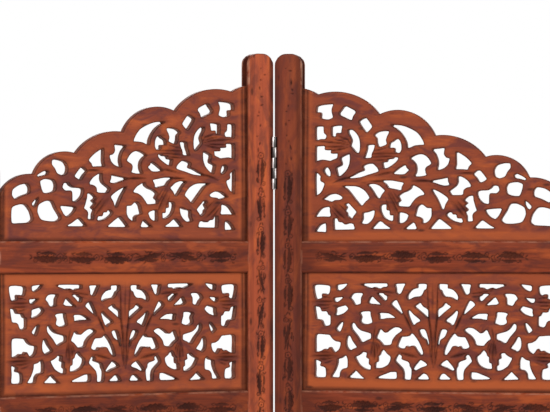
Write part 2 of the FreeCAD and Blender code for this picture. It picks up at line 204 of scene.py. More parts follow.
# Boards: their reach into the grooves, the room above a crest and beyond its outline, and how
# much smaller the cut-outs are than they are drawn, because a cut's edge is rounded
BOARD_TONGUE = 4.0
CREST_MARGIN = 8.0
SKY_MARGIN = 40.0
HOLE_INSET = 0.8
CUT_ROUND = 1.3
CUT_ROUND_DEPTH = 0.7
WAVE_DEPTH = 0.14

# How far from a cut its distance is worked out, and how near to it, as a share of the grid's
# step, a point is moved onto it
CUT_REACH = 8.0
SNAP_SHARE = 0.32
LEAST_SLOPE = 0.3

# A board's veins, dark with stain and painted shade, and the shade that is wider than a vein
VEIN_STAIN_AND_SHADE = 0.66
VEIN_STAIN_AND_SHADE_DEPTH = 0.7
VEIN_SHADE = 2.6
VEIN_SHADE_STAIN = 0.45

# A board's fan-shaped leaves: their soft outline and hollow, their painted shade at the board's
# foot, and how much that falls with each millimetre above it
FAN_EASE = 6.0
FAN_HOLLOW = 0.5
FAN_PAINTED_SHADE = 0.52
FAN_PAINTED_SHADE_FALL = 0.0027
LEAST_FAN_PAINTED_SHADE = 0.05
FAN_SHADE_SHARE = 0.45

# The walls of a board's cut-outs and its scalloped top: painted shade and wear
WALL_SHADE = 0.5
WALL_WEAR = 0.45
TOP_WALL_SHADE = 0.55
TOP_WEAR = 0.2

# The painted shade along a board's edges, the worn line beside it, and the painted shade of narrow ribs
CUT_EDGE_SHADE = 0.75
TOP_EDGE_SHADE = 0.85
EDGE_SHADE_REACH = 1.5
EDGE_WEAR = 0.12
EDGE_WEAR_PLACE = 2.6
EDGE_WEAR_WIDTH = 1.2
RIB_SHADE = 0.3
RIB_SHADE_REACH = 7.0

# A board's bevels beside the posts, with painted shadow on them and a painted highlight line in them, and
# the painted shade along its foot
BEVEL_WIDTH = 6.0
BEVEL_DEPTH = 1.2
BEVEL_SHADE = 0.84
BEVEL_SHADE_REACH = 10.5
BEVEL_SHADE_FADE = 3.5
BEVEL_LINE_PLACE = 4.4
BEVEL_LINE_WIDTH = 1.3
BEVEL_LINE_START = 110.0
BEVEL_LINE_HIGHLIGHT = 0.3
FOOT_SHADE = 0.85
FOOT_SHADE_REACH = 5.0

# A board's plain borders carry painted light, warmer and lighter. A row's painted glow is given at its foot
# and at its top, and a crest's at its foot.
BORDER_WIDTH = 19.0
SIDE_BORDER_WIDTH = 16.0
BORDER_FADE = 5.0
SIDE_GLOW = 0.5
ROW_GLOW = {"right": (1.0, 0.3), "left": (0.5, 1.0)}
CREST_GLOW = {"right": 0.7, "left": 0.0}

# How far each board's pattern strays sideways and up, and how far each crest's has sunk
SIDE_STRAY = 0.8
RISE_STRAY = 0.7
CREST_SAG = {"right": 3.5, "left": 0.7}

# A hinge's knuckle: its eased ends, the painted dark reflection on its sides, its painted highlight line
# and the plate behind it
KNUCKLE_EASE = 0.45
KNUCKLE_EASE_RISE = 0.13
KNUCKLE_DARK_REFLECTION = 0.95
KNUCKLE_DARK_REFLECTION_FALL = 0.06
GLINT_TURN = math.radians(30)
GLINT_START = 0.92
GLINT_FADE = 0.02
BORE_CLEARANCE = 0.05
PLATE_START = PIN_RADIUS + 1
PLATE_END = 5.0

# A leaf's flat part and the holes for its screws
LEAF_START = 4.4
LEAF_STEP = 0.7
SCREW_ROW = (LEAF_START + LEAF_WIDTH) / 2
SCREW_HOLE_RADIUS = 3.3
SCREW_PLACE_SHARES = (1 / 6, 1 / 2, 5 / 6)

# A screw from its tip to its head, as radius and depth, and its crossed slot
SCREW_PROFILE = [(0, 16.0), (1.5, 14.0), (1.5, 2.0), (3.2, 0.45), (3.2, 0.3), (2.9, 0.2), (0, 0.12)]
SCREW_SLOT_LENGTH = 1.9
SCREW_SLOT_WIDTH = 0.35
SCREW_SLOT_DEPTHS = (0.1, 0.4)

# A pin's head, as radius and height above the knuckle
PIN_HEAD = [(3.0, 0.0), (3.0, 0.5), (1.8, 1.0), (0, 1.1)]

# Edges that turn more than this many degrees stay sharp.
SHARP_TURN = 40

# Colours of places with stain and painted shade and of places with wear and painted highlight, the same in
# all the woods
STAINED_AND_SHADED = (0.036, 0.011, 0.008)
WORN_AND_LIT = (0.50, 0.24, 0.15)

# The woods' patterns: how fine they are to the metre, along the grain and across it, and the
# noise's detail, roughness and distortion
WOOD_PATTERNS = {
    "fibres": (18, 480, 3.0, 0.6, 0.0),
    "figure": (6, 110, 5.0, 0.65, 1.2),
    "broad": (9, 42, 4.0, 0.6, 1.0),
    "cloud": (20, 48, 3.0, 0.6, 0.8),
    "scuffs": (60, 120, 4.0, 0.7, 0.0),
}
KNOT_SCALE = (16, 42, 42)

# The figure's part in the grain, the tone of wood without streaks, and the strength of the rest
FIGURE_SHARE = 0.6
PLAIN_TONE = 0.62
GLOW_STRENGTH = 0.85
KNOT_STRENGTH = 0.7
WEAR_AND_HIGHLIGHT_STRENGTH = 0.7
STAIN_AND_SHADE_CLOUDS = 0.3

# Roughness of the woods, what the fibres and the stain with painted shade add to it, and their gloss and
# bump
WOOD_ROUGHNESS = 0.3
FIBRE_ROUGHNESS = 0.22
STAIN_AND_SHADE_ROUGHNESS = 0.25
WOOD_SPECULAR = 0.07
WOOD_BUMP = 0.35
WOOD_BUMP_DISTANCE = 0.0005

# Steel: its colour where dark reflections and shade are painted on it, how bright its smudges are, its
# scratches and its bump
STEEL_DARK = (0.020, 0.013, 0.011, 1)
SMUDGE_SHARE = 0.7
SMUDGE_SCALE = (120, 120, 120)
SCRATCH_SCALE = (3000, 300, 300)
SCRATCH_ROUGHNESS = 0.2
STEEL_BUMP = 0.15
STEEL_BUMP_DISTANCE = 0.0001

# Lamps, each with its place in metres, its width and its power, the point that they face, and
# the strength of the light all round
LAMPS = {
    "key_lamp": ((-1.7, -3.2, 3.0), 1.6, 62),
    "fill_lamp": ((2.2, -3.0, 2.2), 1.8, 44),
    "back_lamp": ((0.4, 3.0, 2.6), 1.8, 40),
}
LAMP_TARGET = (0, 0, 1.1)
SOFT_LIGHT = 0.55

# The floor under the screen
FLOOR_REACH = 3.0
FLOOR_COLOUR = (0.8, 0.79, 0.77, 1)
FLOOR_ROUGHNESS = 0.8

# The photograph's view: pixels to the metre at the joint, and the column of the joint and the
# row of the horizon in the picture
IMAGE_WIDTH = 550
IMAGE_HEIGHT = 412
CAMERA_TURN = 7.0
CAMERA_DISTANCE = 4.0
CAMERA_HEIGHT = 1.406
PIXELS_PER_METRE = 693
JOINT_COLUMN = 274.1
HORIZON_ROW = 241.0

# Places in a panel's frame
MIDDLE_PLANE = FRONT_FACE + POST_DEPTH / 2
POST_FACE = POST_GAP / 2
OPENING_START = POST_FACE + POST_WIDTH
OPENING_MIDDLE = OPENING_START + OPENING_WIDTH / 2
PANEL_EDGE = OPENING_START + OPENING_WIDTH + POST_WIDTH
ROW_PITCH = ROW_HEIGHT + RAIL_HEIGHT
CREST_LEVEL = FOOT_HEIGHT + ROW_PITCH * ROW_COUNT + RAIL_HEIGHT
INNER_POST_HEIGHT = CREST_LEVEL + INNER_POST_EXTRA_HEIGHT
OUTER_POST_HEIGHT = CREST_LEVEL + OUTER_POST_EXTRA_HEIGHT

# The row's pattern is drawn this much narrower than the opening.
ROW_PATTERN_SHARE = 0.968

# Each lobe of the crest bulges through one point and ends at another, as shares of the
# opening's width and of the crest's height. Share 1 of the width is the hinge side.
CREST_START_SHARE = (1.0, 0.988)
CREST_LOBE_SHARES = [
    ((0.968, 0.972), (0.942, 0.948)),
    ((0.795, 0.934), (0.706, 0.813)),
    ((0.582, 0.823), (0.492, 0.678)),
    ((0.386, 0.655), (0.304, 0.542)),
    ((0.206, 0.532), (0.139, 0.410)),
    ((0.056, 0.380), (0.0, 0.275)),
]

# Cut-outs of the crest, given in the same shares
CREST_CUT_SHARES = [
    [(0.883, 0.887), (0.91, 0.887), (0.935, 0.882), (0.948, 0.872), (0.95, 0.832), (0.933, 0.831),
     (0.933, 0.8), (0.923, 0.79), (0.903, 0.785), (0.889, 0.792), (0.883, 0.802), (0.888, 0.835),
     (0.888, 0.855)],
    [(0.832, 0.87), (0.844, 0.87), (0.853, 0.85), (0.862, 0.83), (0.86, 0.813), (0.84, 0.796), (0.82, 0.78),
     (0.811, 0.779), (0.805, 0.805), (0.796, 0.827), (0.802, 0.844)],
    [(0.758, 0.796), (0.773, 0.789), (0.786, 0.773), (0.783, 0.756), (0.77, 0.724), (0.757, 0.698),
     (0.746, 0.706), (0.734, 0.728), (0.732, 0.74), (0.74, 0.762), (0.749, 0.782)],
    [(0.847, 0.746), (0.862, 0.751), (0.88, 0.748), (0.891, 0.74), (0.89, 0.682), (0.883, 0.676),
     (0.871, 0.678), (0.869, 0.698), (0.852, 0.698), (0.849, 0.72)],
    [(0.92, 0.745), (0.94, 0.748), (0.952, 0.74), (0.95, 0.656), (0.93, 0.66), (0.912, 0.661),
     (0.907, 0.678), (0.908, 0.69), (0.916, 0.702), (0.918, 0.72)],
    [(0.81, 0.722), (0.826, 0.721), (0.826, 0.7), (0.818, 0.675), (0.813, 0.653), (0.815, 0.635),
     (0.817, 0.618), (0.808, 0.6), (0.795, 0.575), (0.783, 0.568), (0.778, 0.588), (0.777, 0.625),
     (0.78, 0.66), (0.787, 0.686), (0.798, 0.708)],
    [(0.533, 0.62), (0.536, 0.642), (0.546, 0.672), (0.56, 0.699), (0.58, 0.719), (0.605, 0.737),
     (0.63, 0.747), (0.662, 0.749), (0.66, 0.738), (0.643, 0.722), (0.626, 0.698), (0.612, 0.666),
     (0.603, 0.633), (0.6, 0.603), (0.589, 0.6), (0.57, 0.613), (0.552, 0.617)],
    [(0.63, 0.658), (0.643, 0.66), (0.653, 0.647), (0.666, 0.634), (0.668, 0.602), (0.649, 0.6),
     (0.648, 0.58), (0.639, 0.57), (0.626, 0.57), (0.619, 0.59), (0.619, 0.62), (0.623, 0.643)],
    [(0.67, 0.71), (0.692, 0.711), (0.71, 0.706), (0.724, 0.692), (0.727, 0.68), (0.718, 0.665),
     (0.716, 0.636), (0.71, 0.61), (0.698, 0.608), (0.675, 0.624), (0.678, 0.65), (0.674, 0.673),
     (0.667, 0.696)],
    [(0.722, 0.624), (0.751, 0.624), (0.754, 0.595), (0.761, 0.555), (0.763, 0.539), (0.745, 0.538),
     (0.733, 0.542), (0.732, 0.565), (0.724, 0.593)],
    [(0.913, 0.621), (0.94, 0.621), (0.951, 0.613), (0.95, 0.519), (0.94, 0.522), (0.923, 0.528),
     (0.905, 0.524), (0.892, 0.52), (0.878, 0.53), (0.865, 0.54), (0.864, 0.572), (0.888, 0.573),
     (0.889, 0.594), (0.912, 0.596)],
    [(0.82, 0.57), (0.835, 0.562), (0.853, 0.546), (0.854, 0.53), (0.85, 0.51), (0.852, 0.496),
     (0.869, 0.482), (0.87, 0.468), (0.866, 0.44), (0.862, 0.424), (0.851, 0.426), (0.835, 0.449),
     (0.824, 0.473), (0.817, 0.505), (0.815, 0.535), (0.816, 0.56)],
    [(0.506, 0.504), (0.51, 0.52), (0.518, 0.54), (0.529, 0.556), (0.543, 0.565), (0.558, 0.565),
     (0.574, 0.556), (0.587, 0.543), (0.588, 0.534), (0.578, 0.522), (0.568, 0.5), (0.565, 0.475),
     (0.567, 0.45), (0.573, 0.429), (0.566, 0.422), (0.545, 0.422), (0.524, 0.43), (0.527, 0.445),
     (0.529, 0.468), (0.524, 0.482), (0.513, 0.492)],
    [(0.603, 0.495), (0.613, 0.497), (0.632, 0.478), (0.654, 0.448), (0.65, 0.439), (0.625, 0.435),
     (0.608, 0.437), (0.596, 0.453), (0.59, 0.466), (0.599, 0.48)],
    [(0.632, 0.544), (0.649, 0.548), (0.656, 0.538), (0.673, 0.535), (0.678, 0.519), (0.693, 0.515),
     (0.692, 0.495), (0.688, 0.474), (0.673, 0.476), (0.656, 0.492), (0.64, 0.513), (0.632, 0.53)],
    [(0.73, 0.508), (0.748, 0.507), (0.763, 0.498), (0.769, 0.487), (0.765, 0.465), (0.784, 0.453),
     (0.806, 0.433), (0.83, 0.411), (0.805, 0.411), (0.775, 0.417), (0.746, 0.433), (0.713, 0.45),
     (0.705, 0.46), (0.71, 0.48), (0.72, 0.497)],
    [(0.9, 0.482), (0.913, 0.482), (0.919, 0.465), (0.916, 0.446), (0.905, 0.426), (0.892, 0.42),
     (0.889, 0.435), (0.891, 0.458)],
    [(0.936, 0.44), (0.951, 0.446), (0.95, 0.304), (0.938, 0.306), (0.928, 0.318), (0.919, 0.342),
     (0.913, 0.372), (0.915, 0.384), (0.927, 0.394), (0.929, 0.41), (0.927, 0.422)],
    [(0.842, 0.288), (0.85, 0.303), (0.863, 0.313), (0.88, 0.316), (0.898, 0.309), (0.912, 0.293),
     (0.923, 0.278), (0.905, 0.269), (0.886, 0.26), (0.874, 0.27), (0.852, 0.274)],
    [(0.61, 0.386), (0.635, 0.396), (0.66, 0.403), (0.693, 0.402), (0.693, 0.392), (0.68, 0.376),
     (0.67, 0.352), (0.655, 0.347), (0.625, 0.336), (0.619, 0.34), (0.617, 0.36)],
    [(0.681, 0.336), (0.69, 0.352), (0.702, 0.369), (0.72, 0.38), (0.74, 0.381), (0.75, 0.372),
     (0.742, 0.36), (0.73, 0.333), (0.72, 0.305), (0.71, 0.286), (0.7, 0.287), (0.693, 0.31)],
    [(0.57, 0.369), (0.582, 0.37), (0.586, 0.352), (0.6, 0.335), (0.616, 0.325), (0.633, 0.303),
     (0.626, 0.274), (0.635, 0.262), (0.634, 0.238), (0.61, 0.233), (0.589, 0.233), (0.58, 0.254),
     (0.566, 0.283), (0.55, 0.3), (0.532, 0.308), (0.535, 0.324), (0.548, 0.348)],
    [(0.74, 0.289), (0.748, 0.317), (0.76, 0.34), (0.778, 0.358), (0.8, 0.366), (0.843, 0.366),
     (0.842, 0.358), (0.827, 0.342), (0.81, 0.308), (0.79, 0.265), (0.777, 0.24), (0.767, 0.24),
     (0.756, 0.262)],
    [(0.82, 0.256), (0.833, 0.254), (0.837, 0.243), (0.83, 0.23), (0.834, 0.216), (0.837, 0.206),
     (0.83, 0.193), (0.829, 0.178), (0.82, 0.165), (0.808, 0.154), (0.802, 0.17), (0.79, 0.198),
     (0.796, 0.214), (0.808, 0.236)],
    [(0.893, 0.232), (0.91, 0.232), (0.926, 0.224), (0.938, 0.206), (0.947, 0.185), (0.952, 0.166),
     (0.92, 0.167), (0.89, 0.168), (0.892, 0.2)],
    [(0.804, 0.126), (0.823, 0.13), (0.836, 0.123), (0.846, 0.135), (0.859, 0.139), (0.865, 0.159),
     (0.874, 0.162), (0.882, 0.153), (0.881, 0.088), (0.87, 0.084), (0.8, 0.087), (0.798, 0.098)],
    [(0.909, 0.126), (0.923, 0.127), (0.936, 0.116), (0.946, 0.096), (0.952, 0.074), (0.928, 0.071),
     (0.909, 0.072)],
    [(0.676, 0.25), (0.696, 0.249), (0.702, 0.233), (0.7, 0.203), (0.692, 0.173), (0.678, 0.152),
     (0.66, 0.141), (0.651, 0.144), (0.65, 0.182), (0.662, 0.183), (0.664, 0.213), (0.675, 0.216)],
    [(0.592, 0.182), (0.604, 0.194), (0.62, 0.2), (0.632, 0.195), (0.633, 0.132), (0.627, 0.127),
     (0.612, 0.13), (0.6, 0.146), (0.594, 0.167)],
    [(0.506, 0.226), (0.523, 0.228), (0.536, 0.246), (0.55, 0.25), (0.562, 0.23), (0.568, 0.195),
     (0.57, 0.174), (0.552, 0.165), (0.543, 0.15), (0.543, 0.128), (0.526, 0.129), (0.512, 0.148),
     (0.505, 0.175), (0.505, 0.205)],
    [(0.57, 0.132), (0.582, 0.133), (0.609, 0.097), (0.608, 0.088), (0.561, 0.088), (0.561, 0.098)],
    [(0.694, 0.14), (0.709, 0.142), (0.732, 0.102), (0.732, 0.09), (0.663, 0.09), (0.663, 0.1),
     (0.68, 0.12)],
    [(0.721, 0.212), (0.734, 0.212), (0.75, 0.202), (0.769, 0.194), (0.77, 0.157), (0.777, 0.132),
     (0.77, 0.123), (0.75, 0.122), (0.736, 0.139), (0.726, 0.162), (0.721, 0.19)],
    [(0.323, 0.457), (0.338, 0.457), (0.352, 0.433), (0.34, 0.41), (0.328, 0.38), (0.315, 0.38),
     (0.298, 0.4), (0.308, 0.428)],
    [(0.402, 0.571), (0.416, 0.574), (0.416, 0.5), (0.419, 0.466), (0.39, 0.462), (0.37, 0.46),
     (0.365, 0.48), (0.354, 0.5), (0.364, 0.524), (0.38, 0.548)],
    [(0.456, 0.602), (0.48, 0.6), (0.503, 0.596), (0.503, 0.583), (0.493, 0.562), (0.486, 0.532),
     (0.484, 0.5), (0.488, 0.463), (0.476, 0.461), (0.457, 0.473), (0.444, 0.494), (0.438, 0.52),
     (0.438, 0.536), (0.45, 0.542), (0.458, 0.563)],
    [(0.393, 0.42), (0.41, 0.422), (0.41, 0.388), (0.417, 0.363), (0.442, 0.331), (0.438, 0.315),
     (0.432, 0.302), (0.405, 0.3), (0.388, 0.304), (0.385, 0.332), (0.374, 0.346), (0.358, 0.352),
     (0.36, 0.372), (0.373, 0.399)],
    [(0.446, 0.416), (0.47, 0.41), (0.5, 0.401), (0.52, 0.391), (0.5, 0.382), (0.475, 0.367),
     (0.458, 0.361), (0.438, 0.366), (0.443, 0.39)],
    [(0.493, 0.34), (0.508, 0.344), (0.501, 0.317), (0.489, 0.285), (0.478, 0.245), (0.47, 0.215),
     (0.459, 0.215), (0.452, 0.248), (0.442, 0.277), (0.45, 0.296), (0.47, 0.32)],
    [(0.276, 0.362), (0.284, 0.347), (0.298, 0.334), (0.324, 0.332), (0.336, 0.324), (0.336, 0.3),
     (0.33, 0.276), (0.316, 0.252), (0.298, 0.242), (0.289, 0.248), (0.287, 0.306), (0.262, 0.309),
     (0.25, 0.33), (0.256, 0.358)],
    [(0.242, 0.218), (0.298, 0.214), (0.306, 0.205), (0.298, 0.18), (0.284, 0.159), (0.266, 0.149),
     (0.252, 0.17)],
    [(0.35, 0.299), (0.369, 0.298), (0.384, 0.278), (0.384, 0.265), (0.374, 0.252), (0.385, 0.236),
     (0.372, 0.211), (0.381, 0.195), (0.375, 0.17), (0.374, 0.137), (0.36, 0.135), (0.349, 0.139),
     (0.351, 0.17), (0.347, 0.188), (0.335, 0.204), (0.34, 0.23), (0.347, 0.27)],
    [(0.43, 0.197), (0.444, 0.198), (0.453, 0.18), (0.444, 0.16), (0.424, 0.139), (0.4, 0.128),
     (0.387, 0.129), (0.388, 0.147), (0.393, 0.159), (0.408, 0.161), (0.412, 0.183), (0.425, 0.185)],
    [(0.31, 0.143), (0.322, 0.143), (0.346, 0.101), (0.343, 0.092), (0.266, 0.092), (0.286, 0.116)],
    [(0.47, 0.152), (0.485, 0.153), (0.512, 0.1), (0.51, 0.089), (0.43, 0.089), (0.431, 0.101)],
    [(0.21, 0.5), (0.234, 0.504), (0.262, 0.49), (0.274, 0.456), (0.27, 0.416), (0.252, 0.402),
     (0.23, 0.414), (0.22, 0.444), (0.208, 0.47)],
    [(0.162, 0.368), (0.186, 0.384), (0.218, 0.376), (0.228, 0.346), (0.224, 0.308), (0.204, 0.294),
     (0.176, 0.292), (0.166, 0.324)],
    [(0.054, 0.316), (0.08, 0.344), (0.112, 0.352), (0.124, 0.326), (0.122, 0.292), (0.094, 0.274),
     (0.064, 0.252), (0.05, 0.28)],
    [(0.05, 0.204), (0.08, 0.226), (0.108, 0.224), (0.128, 0.184), (0.136, 0.134), (0.12, 0.112),
     (0.084, 0.108), (0.05, 0.112)],
    [(0.156, 0.224), (0.184, 0.248), (0.212, 0.246), (0.226, 0.202), (0.246, 0.146), (0.23, 0.122),
     (0.196, 0.12), (0.164, 0.132), (0.15, 0.18)],
    [(0.156, 0.27), (0.14, 0.252), (0.128, 0.228), (0.136, 0.208), (0.148, 0.216), (0.156, 0.24)],
    [(0.186, 0.436), (0.198, 0.426), (0.194, 0.406), (0.174, 0.398), (0.154, 0.39), (0.15, 0.404),
     (0.166, 0.422)],
]

# Cut-outs of one half of a row's board. A share of the width runs from the trunk
# to the post, and the other half is the mirror image.
ROW_CUT_SHARES = [
    [(0.119, 0.906), (0.046, 0.907), (0.046, 0.862), (0.064, 0.849), (0.075, 0.82), (0.095, 0.798),
     (0.14, 0.792), (0.178, 0.772), (0.196, 0.77), (0.203, 0.788), (0.2, 0.81), (0.186, 0.836),
     (0.163, 0.86), (0.135, 0.871), (0.122, 0.874)],
    [(0.3, 0.906), (0.25, 0.911), (0.21, 0.91), (0.223, 0.88), (0.243, 0.832), (0.255, 0.818),
     (0.277, 0.818), (0.292, 0.834), (0.294, 0.865)],
    [(0.57, 0.91), (0.5, 0.916), (0.363, 0.914), (0.354, 0.9), (0.357, 0.88), (0.39, 0.877), (0.41, 0.865),
     (0.43, 0.866), (0.46, 0.878), (0.485, 0.869), (0.51, 0.876), (0.56, 0.896)],
    [(0.44, 0.832), (0.39, 0.831), (0.38, 0.818), (0.36, 0.806), (0.356, 0.795), (0.361, 0.768),
     (0.378, 0.763), (0.395, 0.772), (0.416, 0.797), (0.439, 0.82)],
    [(0.49, 0.803), (0.47, 0.799), (0.44, 0.767), (0.41, 0.737), (0.412, 0.726), (0.45, 0.732),
     (0.495, 0.736), (0.515, 0.75), (0.51, 0.768), (0.5, 0.79)],
    [(0.66, 0.79), (0.652, 0.812), (0.635, 0.83), (0.605, 0.836), (0.56, 0.834), (0.55, 0.824),
     (0.566, 0.79), (0.569, 0.742), (0.595, 0.73), (0.618, 0.728), (0.632, 0.745), (0.64, 0.763),
     (0.652, 0.778)],
    [(0.768, 0.903), (0.71, 0.913), (0.675, 0.915), (0.68, 0.9), (0.704, 0.872), (0.735, 0.853),
     (0.755, 0.852), (0.768, 0.863), (0.769, 0.885)],
    [(0.79, 0.795), (0.76, 0.798), (0.715, 0.803), (0.712, 0.792), (0.732, 0.771), (0.755, 0.754),
     (0.775, 0.753), (0.789, 0.764), (0.792, 0.78)],
    [(0.95, 0.9), (0.821, 0.898), (0.818, 0.84), (0.83, 0.82), (0.845, 0.817), (0.862, 0.825),
     (0.88, 0.823), (0.88, 0.792), (0.895, 0.783), (0.936, 0.783)],
    [(0.093, 0.748), (0.072, 0.718), (0.035, 0.69), (0.034, 0.628), (0.043, 0.618), (0.075, 0.648),
     (0.11, 0.68), (0.142, 0.708), (0.144, 0.722), (0.125, 0.734), (0.108, 0.748)],
    [(0.298, 0.772), (0.28, 0.769), (0.256, 0.72), (0.24, 0.68), (0.233, 0.652), (0.246, 0.648),
     (0.275, 0.673), (0.31, 0.705), (0.333, 0.73), (0.33, 0.746), (0.317, 0.762)],
    [(0.18, 0.687), (0.145, 0.648), (0.1, 0.608), (0.098, 0.59), (0.126, 0.575), (0.143, 0.559),
     (0.163, 0.56), (0.18, 0.595), (0.194, 0.635), (0.201, 0.67), (0.194, 0.686)],
    [(0.432, 0.662), (0.4, 0.665), (0.35, 0.661), (0.317, 0.643), (0.292, 0.623), (0.292, 0.615),
     (0.36, 0.614), (0.39, 0.608), (0.42, 0.605), (0.426, 0.615), (0.427, 0.635)],
    [(0.585, 0.663), (0.565, 0.675), (0.53, 0.679), (0.493, 0.676), (0.488, 0.64), (0.477, 0.595),
     (0.479, 0.577), (0.515, 0.563), (0.55, 0.565), (0.576, 0.582), (0.577, 0.603), (0.571, 0.625),
     (0.576, 0.643)],
    [(0.773, 0.707), (0.74, 0.72), (0.695, 0.731), (0.678, 0.716), (0.669, 0.698), (0.685, 0.675),
     (0.71, 0.655), (0.75, 0.64), (0.777, 0.639), (0.78, 0.65), (0.774, 0.675)],
    [(0.946, 0.718), (0.915, 0.719), (0.897, 0.714), (0.883, 0.683), (0.874, 0.679), (0.843, 0.679),
     (0.827, 0.648), (0.811, 0.639), (0.811, 0.563), (0.833, 0.549), (0.857, 0.546), (0.873, 0.56),
     (0.883, 0.589), (0.898, 0.602), (0.928, 0.606), (0.936, 0.635)],
    [(0.115, 0.513), (0.1, 0.528), (0.065, 0.528), (0.05, 0.503), (0.038, 0.46), (0.029, 0.41),
     (0.032, 0.392), (0.048, 0.396), (0.06, 0.435), (0.08, 0.45), (0.098, 0.468)],
    [(0.174, 0.494), (0.154, 0.488), (0.12, 0.442), (0.096, 0.393), (0.08, 0.345), (0.079, 0.313),
     (0.104, 0.31), (0.135, 0.35), (0.15, 0.378), (0.168, 0.385), (0.19, 0.375), (0.21, 0.383),
     (0.222, 0.363), (0.255, 0.36), (0.285, 0.376), (0.282, 0.4), (0.268, 0.435), (0.253, 0.463),
     (0.215, 0.467), (0.193, 0.472)],
    [(0.426, 0.523), (0.405, 0.524), (0.383, 0.502), (0.368, 0.5), (0.345, 0.52), (0.31, 0.542),
     (0.27, 0.543), (0.239, 0.523), (0.25, 0.504), (0.29, 0.472), (0.316, 0.435), (0.328, 0.396),
     (0.36, 0.386), (0.395, 0.387), (0.413, 0.408), (0.43, 0.428), (0.451, 0.444), (0.45, 0.464),
     (0.438, 0.493)],
    [(0.636, 0.582), (0.617, 0.576), (0.595, 0.54), (0.565, 0.515), (0.5, 0.494), (0.487, 0.484),
     (0.488, 0.444), (0.52, 0.427), (0.545, 0.412), (0.566, 0.409), (0.58, 0.425), (0.6, 0.46),
     (0.625, 0.493), (0.645, 0.52), (0.652, 0.545), (0.65, 0.57)],
    [(0.728, 0.588), (0.709, 0.586), (0.71, 0.56), (0.72, 0.525), (0.734, 0.497), (0.75, 0.498),
     (0.773, 0.52), (0.77, 0.536), (0.754, 0.56)],
    [(0.663, 0.471), (0.65, 0.462), (0.63, 0.42), (0.6, 0.375), (0.603, 0.362), (0.63, 0.35),
     (0.645, 0.339), (0.665, 0.342), (0.683, 0.365), (0.69, 0.395), (0.689, 0.43), (0.68, 0.464)],
    [(0.93, 0.476), (0.84, 0.478), (0.815, 0.473), (0.792, 0.44), (0.765, 0.421), (0.73, 0.413),
     (0.728, 0.385), (0.74, 0.346), (0.765, 0.323), (0.783, 0.32), (0.8, 0.343), (0.81, 0.361),
     (0.82, 0.361), (0.83, 0.342), (0.858, 0.347), (0.874, 0.335), (0.9, 0.324), (0.932, 0.323),
     (0.934, 0.36)],
    [(0.11, 0.272), (0.09, 0.269), (0.06, 0.249), (0.045, 0.228), (0.05, 0.22), (0.095, 0.203),
     (0.135, 0.18), (0.16, 0.18), (0.166, 0.193), (0.15, 0.222), (0.13, 0.248)],
    [(0.275, 0.319), (0.256, 0.313), (0.242, 0.296), (0.246, 0.276), (0.2, 0.258), (0.186, 0.242),
     (0.183, 0.218), (0.169, 0.188), (0.178, 0.103), (0.234, 0.102), (0.237, 0.15), (0.246, 0.188),
     (0.27, 0.218), (0.303, 0.254), (0.302, 0.272), (0.29, 0.3)],
    [(0.4, 0.354), (0.383, 0.35), (0.36, 0.32), (0.334, 0.296), (0.336, 0.26), (0.355, 0.223), (0.39, 0.2),
     (0.425, 0.19), (0.458, 0.192), (0.462, 0.205), (0.457, 0.243), (0.44, 0.252), (0.438, 0.3),
     (0.425, 0.306), (0.418, 0.33)],
    [(0.558, 0.332), (0.52, 0.325), (0.523, 0.285), (0.502, 0.272), (0.503, 0.23), (0.488, 0.215),
     (0.491, 0.178), (0.515, 0.176), (0.55, 0.189), (0.585, 0.216), (0.608, 0.255), (0.619, 0.286),
     (0.595, 0.3), (0.573, 0.316)],
    [(0.755, 0.266), (0.725, 0.276), (0.695, 0.3), (0.68, 0.294), (0.67, 0.26), (0.67, 0.2), (0.68, 0.186),
     (0.71, 0.178), (0.728, 0.152), (0.738, 0.106), (0.802, 0.106), (0.803, 0.12), (0.78, 0.162),
     (0.765, 0.2), (0.757, 0.235)],
    [(0.936, 0.256), (0.91, 0.256), (0.88, 0.238), (0.886, 0.208), (0.846, 0.19), (0.845, 0.108),
     (0.93, 0.108), (0.933, 0.18)],
    [(0.083, 0.159), (0.068, 0.158), (0.05, 0.147), (0.037, 0.123), (0.036, 0.102), (0.138, 0.102),
     (0.138, 0.112), (0.115, 0.133), (0.095, 0.153)],
    [(0.446, 0.116), (0.42, 0.132), (0.38, 0.15), (0.34, 0.167), (0.3, 0.17), (0.288, 0.167),
     (0.295, 0.104), (0.443, 0.104)],
    [(0.613, 0.174), (0.6, 0.168), (0.57, 0.135), (0.538, 0.104), (0.54, 0.096), (0.6, 0.098),
     (0.67, 0.103), (0.668, 0.116), (0.648, 0.136), (0.628, 0.158)],
]

